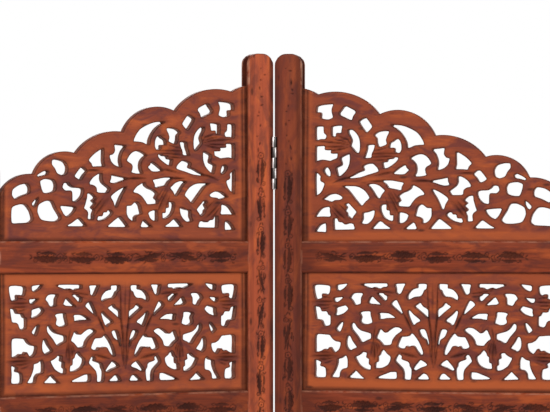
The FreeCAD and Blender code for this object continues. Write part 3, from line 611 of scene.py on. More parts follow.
# Carved veins of the crest: the line and the cut's width in millimetres
CREST_VEIN_SHARES = [
    ([(0.815, 0.620), (0.825, 0.656), (0.850, 0.670), (0.868, 0.683)], 2.8),
    ([(0.815, 0.620), (0.860, 0.636), (0.900, 0.642), (0.945, 0.650)], 3.0),
    ([(0.818, 0.612), (0.840, 0.600), (0.870, 0.592), (0.900, 0.585)], 2.8),
    ([(0.822, 0.632), (0.850, 0.650), (0.885, 0.662)], 2.2),
    ([(0.825, 0.615), (0.865, 0.612), (0.925, 0.612)], 2.2),
    ([(0.750, 0.582), (0.710, 0.588), (0.690, 0.598), (0.667, 0.608)], 2.4),
    ([(0.762, 0.566), (0.700, 0.568), (0.660, 0.568), (0.623, 0.566)], 2.6),
    ([(0.762, 0.546), (0.720, 0.546), (0.680, 0.548), (0.635, 0.552)], 2.6),
    ([(0.755, 0.525), (0.720, 0.524), (0.685, 0.528), (0.650, 0.536)], 2.4),
    ([(0.800, 0.428), (0.830, 0.414), (0.858, 0.400), (0.882, 0.380)], 3.4),
    ([(0.640, 0.450), (0.665, 0.449), (0.692, 0.440), (0.720, 0.428)], 3.2),
    ([(0.668, 0.402), (0.700, 0.396), (0.742, 0.393)], 3.4),
    ([(0.494, 0.390), (0.520, 0.394), (0.550, 0.396), (0.585, 0.396)], 3.4),
    ([(0.322, 0.434), (0.355, 0.438), (0.385, 0.440), (0.410, 0.436)], 3.2),
    ([(0.672, 0.323), (0.652, 0.260), (0.636, 0.205), (0.620, 0.154)], 2.8),
    ([(0.653, 0.335), (0.640, 0.300), (0.622, 0.262), (0.612, 0.236)], 2.4),
    ([(0.680, 0.292), (0.672, 0.245), (0.659, 0.196)], 2.4),
    ([(0.662, 0.330), (0.645, 0.275), (0.625, 0.215)], 2.2),
    ([(0.412, 0.270), (0.390, 0.222), (0.357, 0.160)], 3.0),
    ([(0.396, 0.281), (0.372, 0.236), (0.344, 0.188)], 2.6),
    ([(0.419, 0.244), (0.400, 0.200), (0.376, 0.154)], 2.6),
    ([(0.380, 0.281), (0.362, 0.252), (0.344, 0.223)], 2.2),
    ([(0.887, 0.239), (0.862, 0.193), (0.828, 0.143)], 3.0),
    ([(0.861, 0.250), (0.836, 0.212), (0.809, 0.175)], 2.6),
    ([(0.887, 0.213), (0.868, 0.172), (0.845, 0.138)], 2.6),
    ([(0.845, 0.245), (0.830, 0.220), (0.813, 0.196)], 2.2),
]

# The fan-shaped leaves of the crest, hollowed and stained: the leaf's line and its width
CREST_FAN_SHARES = [
    ([(0.775, 0.556), (0.690, 0.560), (0.615, 0.562)], 14.0),
    ([(0.805, 0.628), (0.880, 0.636), (0.955, 0.645)], 15.0),
    ([(0.668, 0.340), (0.658, 0.260), (0.640, 0.180)], 13.0),
    ([(0.435, 0.265), (0.395, 0.212), (0.350, 0.155)], 15.0),
    ([(0.885, 0.275), (0.855, 0.210), (0.820, 0.145)], 15.0),
]

# Carved veins of one half of a row's board, given the same way
ROW_VEIN_SHARES = [
    ([(0.0, 0.930), (0.0, 0.780), (0.0, 0.600)], 1.8),
    ([(0.040, 0.900), (0.036, 0.740), (0.032, 0.614), (0.018, 0.496), (0.011, 0.347),
      (0.005, 0.208)], 3.4),
    ([(0.035, 0.400), (0.022, 0.330), (0.006, 0.215)], 2.8),
    ([(0.0, 0.560), (0.0, 0.400), (0.0, 0.240)], 1.6),
    ([(0.236, 0.665), (0.200, 0.590), (0.167, 0.507)], 4.2),
    ([(0.124, 0.288), (0.180, 0.305), (0.274, 0.330)], 3.2),
    ([(0.290, 0.826), (0.370, 0.838), (0.470, 0.856)], 2.8),
    ([(0.320, 0.800), (0.390, 0.815), (0.450, 0.832)], 2.2),
    ([(0.400, 0.872), (0.450, 0.870), (0.500, 0.866)], 2.2),
    ([(0.780, 0.765), (0.850, 0.760), (0.963, 0.757)], 3.0),
    ([(0.800, 0.735), (0.860, 0.728), (0.950, 0.735)], 2.4),
    ([(0.800, 0.785), (0.850, 0.800), (0.920, 0.795)], 2.2),
    ([(0.810, 0.715), (0.850, 0.702), (0.900, 0.695)], 2.2),
    ([(0.770, 0.296), (0.850, 0.292), (0.955, 0.290)], 3.0),
    ([(0.790, 0.275), (0.850, 0.262), (0.920, 0.262)], 2.4),
    ([(0.790, 0.315), (0.850, 0.325), (0.930, 0.315)], 2.4),
    ([(0.790, 0.255), (0.830, 0.235), (0.870, 0.225)], 2.2),
    ([(0.436, 0.290), (0.440, 0.360), (0.460, 0.430)], 2.4),
    ([(0.462, 0.270), (0.464, 0.350), (0.470, 0.430)], 3.0),
    ([(0.492, 0.300), (0.484, 0.360), (0.475, 0.430)], 2.4),
    ([(0.420, 0.330), (0.428, 0.380), (0.448, 0.430)], 2.2),
    ([(0.470, 0.430), (0.466, 0.490), (0.455, 0.550)], 2.4),
    ([(0.760, 0.355), (0.800, 0.385), (0.830, 0.400)], 2.2),
]

# The fan-shaped leaves of one half of a row's board
ROW_FAN_SHARES = [
    ([(0.755, 0.752), (0.860, 0.750), (0.970, 0.752)], 13.0),
    ([(0.745, 0.290), (0.860, 0.285), (0.970, 0.285)], 14.0),
    ([(0.466, 0.250), (0.468, 0.340), (0.470, 0.440)], 13.0),
    ([(0.280, 0.835), (0.390, 0.845), (0.510, 0.860)], 10.0),
    ([(0.110, 0.290), (0.195, 0.312), (0.290, 0.335)], 9.0),
    ([(0.745, 0.350), (0.800, 0.388), (0.850, 0.405)], 7.0),
]

# The motifs of the carved vine: leaves and lines in shares of the pitch along the band and of
# the band's half width across it, with the cut's width in millimetres, and the middles of the
# ring flowers in the same shares, with their radii in millimetres.
ROUND_MOTIF_SHARES = {
    "leaves": [
        ([(0.15, 0.20), (0.34, 0.34), (0.56, 0.32), (0.80, 0.12)], 7.6),
        ([(0.22, -0.50), (0.42, -0.60), (0.66, -0.50)], 3.8),
    ],
    "lines": [
        ([(0.70, 0.16), (0.78, 0.02), (0.88, -0.04)], 1.6),
        ([(0.20, -0.30), (0.23, -0.42), (0.26, -0.50)], 1.4),
        ([(0.60, -0.48), (0.68, -0.74), (0.76, -0.62), (0.72, -0.40), (0.66, -0.40)], 1.4),
        ([(0.20, 0.62), (0.30, 0.86), (0.42, 0.80)], 1.4),
        ([(0.88, -0.04), (0.94, 0.20), (0.99, 0.44)], 1.4),
        ([(0.88, -0.04), (0.94, -0.26), (0.99, -0.40)], 1.4),
    ],
    "flowers": [((0.09, 0.0), 4.4), ((0.80, 0.52), 2.5)],
}
LONG_MOTIF_SHARES = {
    "leaves": [
        ([(0.18, -0.46), (0.38, -0.18), (0.60, 0.20), (0.80, 0.48)], 6.2),
        ([(0.24, 0.44), (0.40, 0.56), (0.60, 0.66)], 3.4),
    ],
    "lines": [
        ([(0.60, -0.30), (0.72, -0.10), (0.82, 0.02), (0.96, 0.04)], 1.8),
        ([(0.74, 0.10), (0.84, 0.42), (0.95, 0.66)], 1.6),
        ([(0.74, -0.12), (0.84, -0.44), (0.95, -0.62)], 1.6),
        ([(0.44, -0.60), (0.52, -0.78), (0.60, -0.66), (0.56, -0.48)], 1.4),
        ([(0.20, 0.10), (0.32, 0.04), (0.44, -0.02)], 1.3),
    ],
    "flowers": [((0.11, 0.36), 3.4), ((0.13, -0.40), 2.8)],
}


def closed_curve(points, steps=5):
    """A smooth closed curve through a cut-out's points, a little slack so that corners stay."""
    points = np.asarray(points, float)
    before = np.roll(points, 1, axis=0)
    after = np.roll(points, -1, axis=0)
    slack = 0.36
    start_pull = slack * (after - before)
    end_pull = slack * (np.roll(after, -1, axis=0) - points)
    pieces = []
    for t in np.linspace(0, 1, steps, endpoint=False):
        pieces.append((2 * t**3 - 3 * t**2 + 1) * points + (t**3 - 2 * t**2 + t) * start_pull
                      + (3 * t**2 - 2 * t**3) * after + (t**3 - t**2) * end_pull)
    return np.stack(pieces, axis=1).reshape(-1, 2)


def arc_points(start, bulge, end, steps=24):
    """Points on the circular arc from START through BULGE to END, without its start."""
    (ax, az), (bx, bz), (cx, cz) = start, bulge, end
    cross = 2 * (ax * (bz - cz) + bx * (cz - az) + cx * (az - bz))
    a2, b2, c2 = ax * ax + az * az, bx * bx + bz * bz, cx * cx + cz * cz
    ux = (a2 * (bz - cz) + b2 * (cz - az) + c2 * (az - bz)) / cross
    uz = (a2 * (cx - bx) + b2 * (ax - cx) + c2 * (bx - ax)) / cross
    radius = math.hypot(ax - ux, az - uz)
    first = math.atan2(az - uz, ax - ux)
    middle = (math.atan2(bz - uz, bx - ux) - first) % (2 * math.pi)
    last = (math.atan2(cz - uz, cx - ux) - first) % (2 * math.pi)
    if middle > last:
        last -= 2 * math.pi
    angles = first + np.linspace(0, last, steps + 1)[1:]
    return np.column_stack([ux + radius * np.cos(angles), uz + radius * np.sin(angles)])


def line_distance(x, z, points):
    """Distance of each place from a line of points, and how far along the line it is nearest."""
    points = np.asarray(points, float)
    lengths = np.hypot(*np.diff(points, axis=0).T)
    total = lengths.sum()
    best = np.full(x.shape, np.inf)
    along = np.zeros(x.shape)
    passed = 0.0
    for (ax, az), (bx, bz), length in zip(points[:-1], points[1:], lengths):
        run = ((x - ax) * (bx - ax) + (z - az) * (bz - az)) / max(length * length, TINY)
        run = np.clip(run, 0, 1)
        away = np.hypot(x - ax - run * (bx - ax), z - az - run * (bz - az))
        nearer = away < best
        best = np.where(nearer, away, best)
        along = np.where(nearer, (passed + run * length) / total, along)
        passed += length
    return best, along


def signed_distance(x, z, outline):
    """Distance of each place from a closed outline, negative inside it."""
    ax, az = outline[:, 0], outline[:, 1]
    bx, bz = np.roll(ax, -1), np.roll(az, -1)
    x = x[..., None]
    z = z[..., None]
    dx, dz = bx - ax, bz - az
    run = np.clip(((x - ax) * dx + (z - az) * dz) / np.maximum(dx * dx + dz * dz, TINY), 0, 1)
    away = np.hypot(x - ax - run * dx, z - az - run * dz).min(axis=-1)
    rise = np.where(dz == 0, TINY, dz)
    crosses = ((az > z) != (bz > z)) & (x < ax + (z - az) * dx / rise)
    inside = crosses.sum(axis=-1) % 2 == 1
    return np.where(inside, -away, away)


def cut_field(xs, zs, outlines):
    """Signed distance from the nearest cut, over a grid: negative in the cut-outs."""
    field = np.full((len(xs), len(zs)), CUT_REACH)
    for outline in outlines:
        low = outline.min(axis=0) - CUT_REACH
        high = outline.max(axis=0) + CUT_REACH
        i0, i1 = np.searchsorted(xs, [low[0], high[0]])
        j0, j1 = np.searchsorted(zs, [low[1], high[1]])
        if i0 == i1 or j0 == j1:
            continue
        x, z = np.meshgrid(xs[i0:i1], zs[j0:j1], indexing="ij")
        near = signed_distance(x, z, outline)
        field[i0:i1, j0:j1] = np.minimum(field[i0:i1, j0:j1], near)
    return field


def sheet_faces(rows, columns):
    """Quads of a grid of points that runs row by row, seen with its rows to the right."""
    number = np.arange(rows * columns).reshape(rows, columns)
    quads = np.stack([number[:-1, :-1], number[1:, :-1], number[1:, 1:], number[:-1, 1:]], axis=-1)
    return quads.reshape(-1, 4)


def snapped_grid(xs, zs, field):
    """The points of a grid and their field, with those close to a cut's edge moved onto it."""
    step = xs[1] - xs[0]
    gx, gz = np.gradient(field, step)
    steep = np.maximum(gx * gx + gz * gz, LEAST_SLOPE)
    x, z = np.meshgrid(xs, zs, indexing="ij")
    near = np.abs(field) < SNAP_SHARE * step
    near[[0, -1], :] = False
    near[:, [0, -1]] = False
    x = np.where(near, x - field * gx / steep, x).ravel()
    z = np.where(near, z - field * gz / steep, z).ravel()
    return x, z, np.where(near, 0.0, field).ravel()


def clipped_cells(cells, x, z, field):
    """Cells that a cut crosses, clipped to it: faces by number of corners, and added points."""
    added = []
    crossings = {}

    def crossing(p, q):
        """The point where the cut crosses a cell's side, made once for both its cells."""
        key = (min(p, q), max(p, q))
        if key not in crossings:
            share = field[p] / (field[p] - field[q])
            crossings[key] = len(x) + len(added)
            added.append((x[p] + share * (x[q] - x[p]), z[p] + share * (z[q] - z[p])))
        return crossings[key]

    faces = {}
    for cell in cells.tolist():
        loop = []
        for p, q in zip(cell, cell[1:] + cell[:1]):
            inner, outer = (p, q) if field[p] >= 0 else (q, p)
            if field[p] >= 0:
                loop.append(p)
            if field[inner] > 0 and field[outer] < 0:
                loop.append(crossing(inner, outer))
        if len(loop) > 2:
            faces.setdefault(len(loop), []).append(loop)
    return faces, added


def cut_edges(faces, rim):
    """Directed edges that only one face has, without those on the sheet's own rim."""
    starts = np.concatenate([loops.ravel() for loops in faces.values()])
    ends = np.concatenate([np.roll(loops, -1, axis=1).ravel() for loops in faces.values()])
    keys = np.minimum(starts, ends) * np.int64(len(rim)) + np.maximum(starts, ends)
    first, times = np.unique(keys, return_index=True, return_counts=True)[1:]
    single = first[times == 1]
    single = single[~(rim[starts[single]] & rim[ends[single]])]
    return np.column_stack([starts[single], ends[single]])


def fretted_sheet(xs, zs, field):
    """The flat mesh of a grid with its cut-outs taken out.

    Returns the points, their distance from the nearest cut, the faces by number of corners,
    and the directed edges along the cuts."""
    x, z, field = snapped_grid(xs, zs, field)
    cells = sheet_faces(len(xs), len(zs))
    count = (field[cells] >= 0).sum(axis=1)
    clipped, added = clipped_cells(cells[(count > 0) & (count < 4)], x, z, field)
    faces = {4: [cells[count == 4]]}
    for corners, loops in clipped.items():
        faces.setdefault(corners, []).append(np.array(loops))
    faces = {corners: np.concatenate(loops) for corners, loops in faces.items()}
    if added:
        added = np.array(added)
        x = np.concatenate([x, added[:, 0]])
        z = np.concatenate([z, added[:, 1]])
        field = np.concatenate([field, np.zeros(len(added))])
    used = np.zeros(len(x), bool)
    for loops in faces.values():
        used[loops.ravel()] = True
    renumber = np.cumsum(used) - 1
    faces = {corners: renumber[loops] for corners, loops in faces.items()}
    half = (xs[1] - xs[0]) / 2
    side = (x < xs[0] + half) | (x > xs[-1] - half)
    rim = side | (z < zs[0] + half) | (z > zs[-1] - half)
    return np.column_stack([x, z])[used], field[used], faces, cut_edges(faces, rim[used])


def v_cuts(x, z, strokes, depth_share=CUT_DEPTH_SHARE, floor_share=0.0):
    """How deep a set of tapering cuts goes at each place. STROKES holds lines and widths.

    With a flat floor, as a share of the width, a cut also gets a toothed outline."""
    deepest = np.zeros(x.shape)
    for points, width in strokes:
        points = np.asarray(points, float)
        low = points.min(axis=0) - width
        high = points.max(axis=0) + width
        near = np.flatnonzero((x > low[0]) & (x < high[0]) & (z > low[1]) & (z < high[1]))
        if not len(near):
            continue
        away, along = line_distance(x[near], z[near], points)
        swell = np.sin(np.pi * np.clip(along, 0.02, 0.98))
        half = width / 2 * (CUT_END_SHARE + (1 - CUT_END_SHARE) * swell)
        slope = np.clip(1 - away / half, 0, 1)
        if floor_share:
            toothed = half * (1 + SERRATION_SHARE * np.sin(SERRATION * along))
            slope = np.clip(np.clip(1 - away / toothed, 0, 1) / (1 - floor_share), 0, 1)
        deepest[near] = np.maximum(deepest[near], slope * half * 2 * depth_share)
    return deepest


def board_edge(x, z):
    """Depth of a board's bevels beside the posts, the painted shadow on them with a painted highlight line,
    and the painted shade along its foot on the rail.
    """
    from_post = OPENING_WIDTH / 2 - np.abs(x)
    depth = BEVEL_DEPTH * np.clip(1 - from_post / BEVEL_WIDTH, 0, 1)
    line = np.clip(1 - np.abs(from_post - BEVEL_LINE_PLACE) / BEVEL_LINE_WIDTH, 0, 1)
    line = line * np.clip(z / BEVEL_LINE_START, 0.15, 1)
    # Painted shadow on the bevels beside the posts, broken by a painted highlight line, and painted shade
    # along the foot on the rail
    stain_and_shade = BEVEL_SHADE * np.clip((BEVEL_SHADE_REACH - from_post) / BEVEL_SHADE_FADE, 0, 1) * (1 - line)
    foot = FOOT_SHADE * np.clip(1.3 - z / FOOT_SHADE_REACH, 0, 1)
    return depth, np.maximum(stain_and_shade, foot), line


def board_stain_and_shade(z, away, on_top, cut, shade, fan, edge_shade):
    """How dark a board's face is at each place, from staining and painted shade."""
    # Painted shade along the cut edges and on narrow ribs, stain and painted shade in the veins, painted
    # shade on the fan leaves
    edge = np.where(on_top, TOP_EDGE_SHADE, CUT_EDGE_SHADE) * np.clip(1.2 - away / EDGE_SHADE_REACH, 0, 1)
    narrow = RIB_SHADE * np.clip(1 - away / RIB_SHADE_REACH, 0, 1) * ~on_top
    vein = VEIN_STAIN_AND_SHADE * np.clip(cut / VEIN_STAIN_AND_SHADE_DEPTH, 0, 1)
    leaf = np.clip(FAN_PAINTED_SHADE - FAN_PAINTED_SHADE_FALL * z, LEAST_FAN_PAINTED_SHADE, 1) * fan
    carving = np.maximum(vein, VEIN_SHADE_STAIN * shade * (1 - FAN_SHADE_SHARE * fan) + leaf)
    return np.maximum(carving, np.maximum(edge, edge_shade) + narrow)


def board_piece(xs, zs, outlines, veins, fans, sky=None):
    """One fretted board: its points, its faces, and at each point its staining with painted shade and its
    rubbing with painted highlight.

    SKY is the outline of what lies above the board, where its top isn't straight."""
    field = cut_field(xs, zs, outlines) + HOLE_INSET
    above = cut_field(xs, zs, [] if sky is None else [sky])
    flat, away, faces, edges = fretted_sheet(xs, zs, np.minimum(field, above))
    x, z = flat.T
    cut = v_cuts(x, z, veins)
    shade = v_cuts(x, z, [(points, width + VEIN_SHADE) for points, width in veins], 1.0) / VEIN_SHADE
    waves = WAVE_DEPTH * np.sin(x / 9.0 + 1.7 * np.sin(z / 13.0)) * np.sin(z / 7.0 + x / 31.0)
    eased = CUT_ROUND_DEPTH * np.clip(1 - away / CUT_ROUND, 0, 1) ** 2
    fan = np.clip(v_cuts(x, z, fans, 1.0) / FAN_EASE, 0, 1)
    bevel, edge_shade, line = board_edge(x, z)
    half = JALI_THICKNESS / 2
    drop = np.clip(cut + eased + waves + bevel + FAN_HOLLOW * fan, 0, half - 1)
    front = np.column_stack([x, MIDDLE_PLANE - half + drop, z])
    back = np.column_stack([x, MIDDLE_PLANE + half - drop, z])
    rim_points, rim = np.unique(edges, return_inverse=True)
    rim = rim.reshape(edges.shape)
    total = len(x)
    rims = len(rim_points)
    points = np.concatenate([front, back, front[rim_points], back[rim_points]])

    columns = np.clip(np.rint((x - xs[0]) / BOARD_STEP).astype(int), 0, len(xs) - 1)
    rows = np.clip(np.rint((z - zs[0]) / BOARD_STEP).astype(int), 0, len(zs) - 1)
    on_top = above[columns, rows] < 2 * BOARD_STEP
    stain_and_shade = board_stain_and_shade(z, away, on_top, cut, shade, fan, edge_shade)
    # Painted shade on the walls of the cut-outs and of the scalloped top
    rim_shade = np.where(on_top[rim_points], TOP_WALL_SHADE, WALL_SHADE)
    stain_and_shade = np.clip(np.concatenate([stain_and_shade, stain_and_shade, rim_shade, rim_shade]), 0, 1)
    worn = EDGE_WEAR * np.clip(1 - np.abs(away - EDGE_WEAR_PLACE) / EDGE_WEAR_WIDTH, 0, 1)
    # Wear, and the painted highlight line in the bevels beside the posts
    worn = worn * (cut < 0.2) + BEVEL_LINE_HIGHLIGHT * line
    rim_wear = np.where(on_top[rim_points], TOP_WEAR, WALL_WEAR)
    wear_and_highlight = np.concatenate([worn, worn, rim_wear, rim_wear])
    walls = np.column_stack([rim[:, 1], rim[:, 0], rim[:, 0] + rims, rim[:, 1] + rims])
    everything = list(faces.values())
    everything += [loops[:, ::-1] + total for loops in faces.values()]
    everything.append(walls + 2 * total)
    return points, everything, stain_and_shade, wear_and_highlight


def mirrored(points):
    """Shares of half a row's width, swapped to the other side of the trunk."""
    return [(-x, z) for x, z in points]


def board_grid(top):
    """The grid lines of a board, from its tongues at the sides and below up to TOP."""
    half = OPENING_WIDTH / 2
    xs = np.arange(-half - BOARD_TONGUE, half + BOARD_TONGUE + BOARD_STEP / 2, BOARD_STEP)
    return xs, np.arange(-BOARD_TONGUE, top, BOARD_STEP)


def both_halves(table, size):
    """Lines and widths of one half of a row's board, each followed by its mirror image."""
    strokes = []
    for shares, width in table:
        strokes.append((np.array(shares) * size, width))
        strokes.append((np.array(mirrored(shares)) * size, width))
    return strokes


def row_board():
    """The board of a row in the opening's own frame: x from the trunk, z from the rail below."""
    size = np.array([OPENING_WIDTH / 2 * ROW_PATTERN_SHARE, ROW_HEIGHT])
    outlines = []
    for shares in ROW_CUT_SHARES:
        outlines.append(closed_curve(np.array(shares) * size))
        outlines.append(closed_curve(np.array(mirrored(shares[::-1])) * size))
    xs, zs = board_grid(ROW_HEIGHT + BOARD_TONGUE + BOARD_STEP / 2)
    return board_piece(xs, zs, outlines, both_halves(ROW_VEIN_SHARES, size),
                       both_halves(ROW_FAN_SHARES, size))


def crest_place(shares):
    """Shares of the crest as places in the opening's own frame: x outwards from its middle."""
    return (np.atleast_2d(shares) - [0.5, 0.0]) * [-OPENING_WIDTH, CREST_HEIGHT]


def crest_sky():
    """The outline of what lies above the crest's scalloped top."""
    top = [crest_place(CREST_START_SHARE)]
    for bulge, end in CREST_LOBE_SHARES:
        top.append(arc_points(top[-1][-1], crest_place(bulge)[0], crest_place(end)[0]))
    top = np.concatenate(top)
    start, end = top[0], top[-1]
    above = [(end[0] + SKY_MARGIN, end[1]), (end[0] + SKY_MARGIN, start[1] + SKY_MARGIN),
             (start[0] - SKY_MARGIN, start[1] + SKY_MARGIN), (start[0] - SKY_MARGIN, start[1])]
    return np.concatenate([top, above])


def crest_board():
    """The crest's board in the opening's own frame."""
    outlines = [closed_curve(crest_place(shares)) for shares in CREST_CUT_SHARES]
    veins = [(crest_place(shares), width) for shares, width in CREST_VEIN_SHARES]
    fans = [(crest_place(shares), width) for shares, width in CREST_FAN_SHARES]
    xs, zs = board_grid(CREST_HEIGHT + CREST_MARGIN)
    return board_piece(xs, zs, outlines, veins, fans, crest_sky())


def vine(length, start, seed, half_width):
    """Leaves, lines and flowers of a carved band, in millimetres along it and across it."""
    random = np.random.default_rng(seed)
    leaves, lines, flowers = [], [], []
    place = start
    while place + BAND_PITCH < length:
        pitch = BAND_PITCH * random.uniform(*PITCH_SPREAD_SHARES)
        motif = ROUND_MOTIF_SHARES if random.random() < ROUND_MOTIF_SHARE else LONG_MOTIF_SHARES
        size = np.array([pitch, random.choice([-1, 1]) * half_width])
        shift = np.array([place, random.uniform(-MOTIF_STRAY, MOTIF_STRAY)])
        for shares, width in motif["leaves"]:
            wide = width * random.uniform(*LEAF_SPREAD_SHARES)
            leaves.append((np.array(shares) * size + shift, wide))
        for shares, width in motif["lines"]:
            wobble = random.normal(0, LINE_WOBBLE, (len(shares), 2))
            lines.append((np.array(shares) * size + shift + wobble, width + LINE_EXTRA_WIDTH))
        for share, radius in motif["flowers"]:
            wide = radius * random.uniform(*FLOWER_SPREAD_SHARES)
            flowers.append((np.array(share) * size + shift, wide))
        for curl in range(CURLS):
            centre = [place + pitch * random.uniform(0, 1),
                      half_width * random.uniform(-CURL_SPREAD_SHARE, CURL_SPREAD_SHARE)]
            start_turn = random.uniform(0, 2 * math.pi)
            turn = start_turn + np.linspace(0, random.uniform(*CURL_TURN), CURL_POINTS)
            radius = random.uniform(*CURL_RADIUS) * np.linspace(1, CURL_END_SHARE, CURL_POINTS)
            curve = np.column_stack([CURL_STRETCH * radius * np.cos(turn), radius * np.sin(turn)])
            lines.append((curve + centre, random.uniform(*CURL_WIDTH)))
        place += pitch
    return leaves, lines, flowers


def tool_marks(low, high, seed, half_width):
    """Short nicks on a post's plain face, as lines of the same kind as a vine's."""
    random = np.random.default_rng(seed)
    marks = []
    for place in np.arange(low, high, MARK_PITCH):
        centre = [place + random.uniform(-MARK_STRAY, MARK_STRAY),
                  half_width * random.uniform(-MARK_SPREAD_SHARE, MARK_SPREAD_SHARE)]
        turn = random.choice(MARK_TURNS)
        reach = random.uniform(*MARK_REACH) * np.array([math.cos(turn), math.sin(turn)])
        marks.append((np.array([centre - reach, centre + reach]), random.uniform(*MARK_WIDTH)))
    return marks


def vine_relief(along, across, strokes):
    """Depth and darkness of a carved band at each place: staining and painted shade in the cuts, and a
    darker halo around them.
    """
    leaves, lines, flowers = strokes
    leaf = v_cuts(along, across, leaves, LEAF_DEPTH_SHARE, LEAF_FLOOR_SHARE)
    hatching = 1 - HATCHING_SHARE + HATCHING_SHARE * np.sin(along * 2.4 + across * 0.7)
    line = v_cuts(along, across, lines, LINE_DEPTH_SHARE)
    ring = np.zeros(along.shape)
    for centre, radius in flowers:
        near = np.abs(along - centre[0]) < 2 * radius
        away = np.hypot(along[near] - centre[0], across[near] - centre[1])
        turn = np.arctan2(across[near] - centre[1], along[near] - centre[0])
        outline = radius * (1 + PETAL_SHARE * np.sin(PETALS * turn))
        petals = np.clip(1 - np.abs(away - outline) / RING_WIDTH, 0, 1)
        eye = np.clip(1.6 - away / (radius * FLOWER_EYE_SHARE), 0, 1)
        flower = np.maximum(petals * RING_DEPTH, eye * FLOWER_EYE_DEPTH)
        ring[near] = np.maximum(ring[near], flower)
    wide = [(points, width + VEIN_SHADE) for points, width in leaves + lines]
    shade = VINE_SHADE_STAIN * np.clip(v_cuts(along, across, wide, 1.0) / VEIN_SHADE, 0, 1)
    depth = np.maximum(np.maximum(leaf * hatching, line), ring)
    # The cuts are darkened by stain and painted shade, the deeper the darker
    carved = np.maximum(leaf * LEAF_STAIN_AND_SHADE, np.maximum(line * LINE_STAIN_AND_SHADE, ring * RING_STAIN_AND_SHADE))
    return depth, np.clip(np.maximum(carved, shade), 0, 1)


class Shell:
    """The points and faces of a piece while its parts are put together."""

    def __init__(self):
        self.points = []
        self.faces = []
        self.stain_and_shade = []
        self.wear_and_highlight = []
        self.count = 0

    def add(self, points, faces, stain_and_shade=0.0, wear_and_highlight=0.0):
        """Add points (n by 3) and the lists of faces that refer to them."""
        points = np.asarray(points, float)
        self.points.append(points)
        self.faces += [np.asarray(loops) + self.count for loops in faces]
        self.stain_and_shade.append(np.broadcast_to(stain_and_shade, len(points)))
        self.wear_and_highlight.append(np.broadcast_to(wear_and_highlight, len(points)))
        self.count += len(points)

    def whole(self):
        """Everything, the way board_piece gives it."""
        return (np.concatenate(self.points), self.faces,
                np.concatenate(self.stain_and_shade), np.concatenate(self.wear_and_highlight))


def post_section(edge_round):
    """Columns of a post's section: their distance from its plain side and how far they set back."""
    turn = np.linspace(0, math.pi / 2, 9)
    joint = np.append(edge_round * (1 - np.cos(turn)), [EDGE_SHADE_WIDTH, 2 * EDGE_SHADE_WIDTH])
    joint_back = np.append(edge_round * (1 - np.sin(turn)), [0.0, 0.0])
    half = BAND_WIDTH / 2
    middle = POST_WIDTH / 2
    band = np.linspace(middle - half, middle + half, int(BAND_WIDTH / BAND_STEP) + 1)
    slot = POST_WIDTH - GROOVE_DEPTH
    turn = np.linspace(0, math.pi / 2, 5)
    edge = POST_WIDTH - PANEL_EDGE_ROUND * (1 - np.sin(turn))
    edge_back = PANEL_EDGE_ROUND * (1 - np.cos(turn))
    columns = np.concatenate([joint, band, [slot], edge])
    set_back = np.concatenate([joint_back, np.zeros(len(band) + 1), edge_back])
    in_band = (columns > middle - half - TOUCH) & (columns < middle + half + TOUCH)
    return columns, set_back, in_band, slot


def post_levels(height, top, outer):
    """Levels of a post's rings from the floor to TOP, with a step at each end of each hinge."""
    levels = list(np.linspace(0, top, POST_RINGS))
    levels += [height - FREE_TOP, height - FREE_TOP + FREE_TOP_FADE]
    if not outer:
        for level in hinge_levels():
            end = level + HINGE_LENGTH
            levels += [level - HINGE_LEVEL_STEP, level, end, end + HINGE_LEVEL_STEP]
    return np.sort(np.array(levels))


def notched(s, y, z):
    """A post's section with room for the hinge knuckles at the levels where they are."""
    at_hinge = np.zeros(z.shape, bool)
    for level in hinge_levels():
        at_hinge |= (z > level - TOUCH) & (z < level + HINGE_LENGTH + TOUCH)
    x = s + POST_FACE
    away = np.maximum(np.hypot(x, y), 0.1)
    room = BARREL_RADIUS + BARREL_CLEARANCE
    push = np.where(at_hinge & (away < room), room / away, 1.0)
    return x * push - POST_FACE, y * push


def ring_faces(size, levels):
    """Faces between consecutive levels of a closed section of SIZE points."""
    number = np.arange(size * levels).reshape(size, levels)
    after = np.roll(number, -1, axis=0)
    return np.stack([number[:, :-1], after[:, :-1], after[:, 1:], number[:, 1:]], axis=-1)


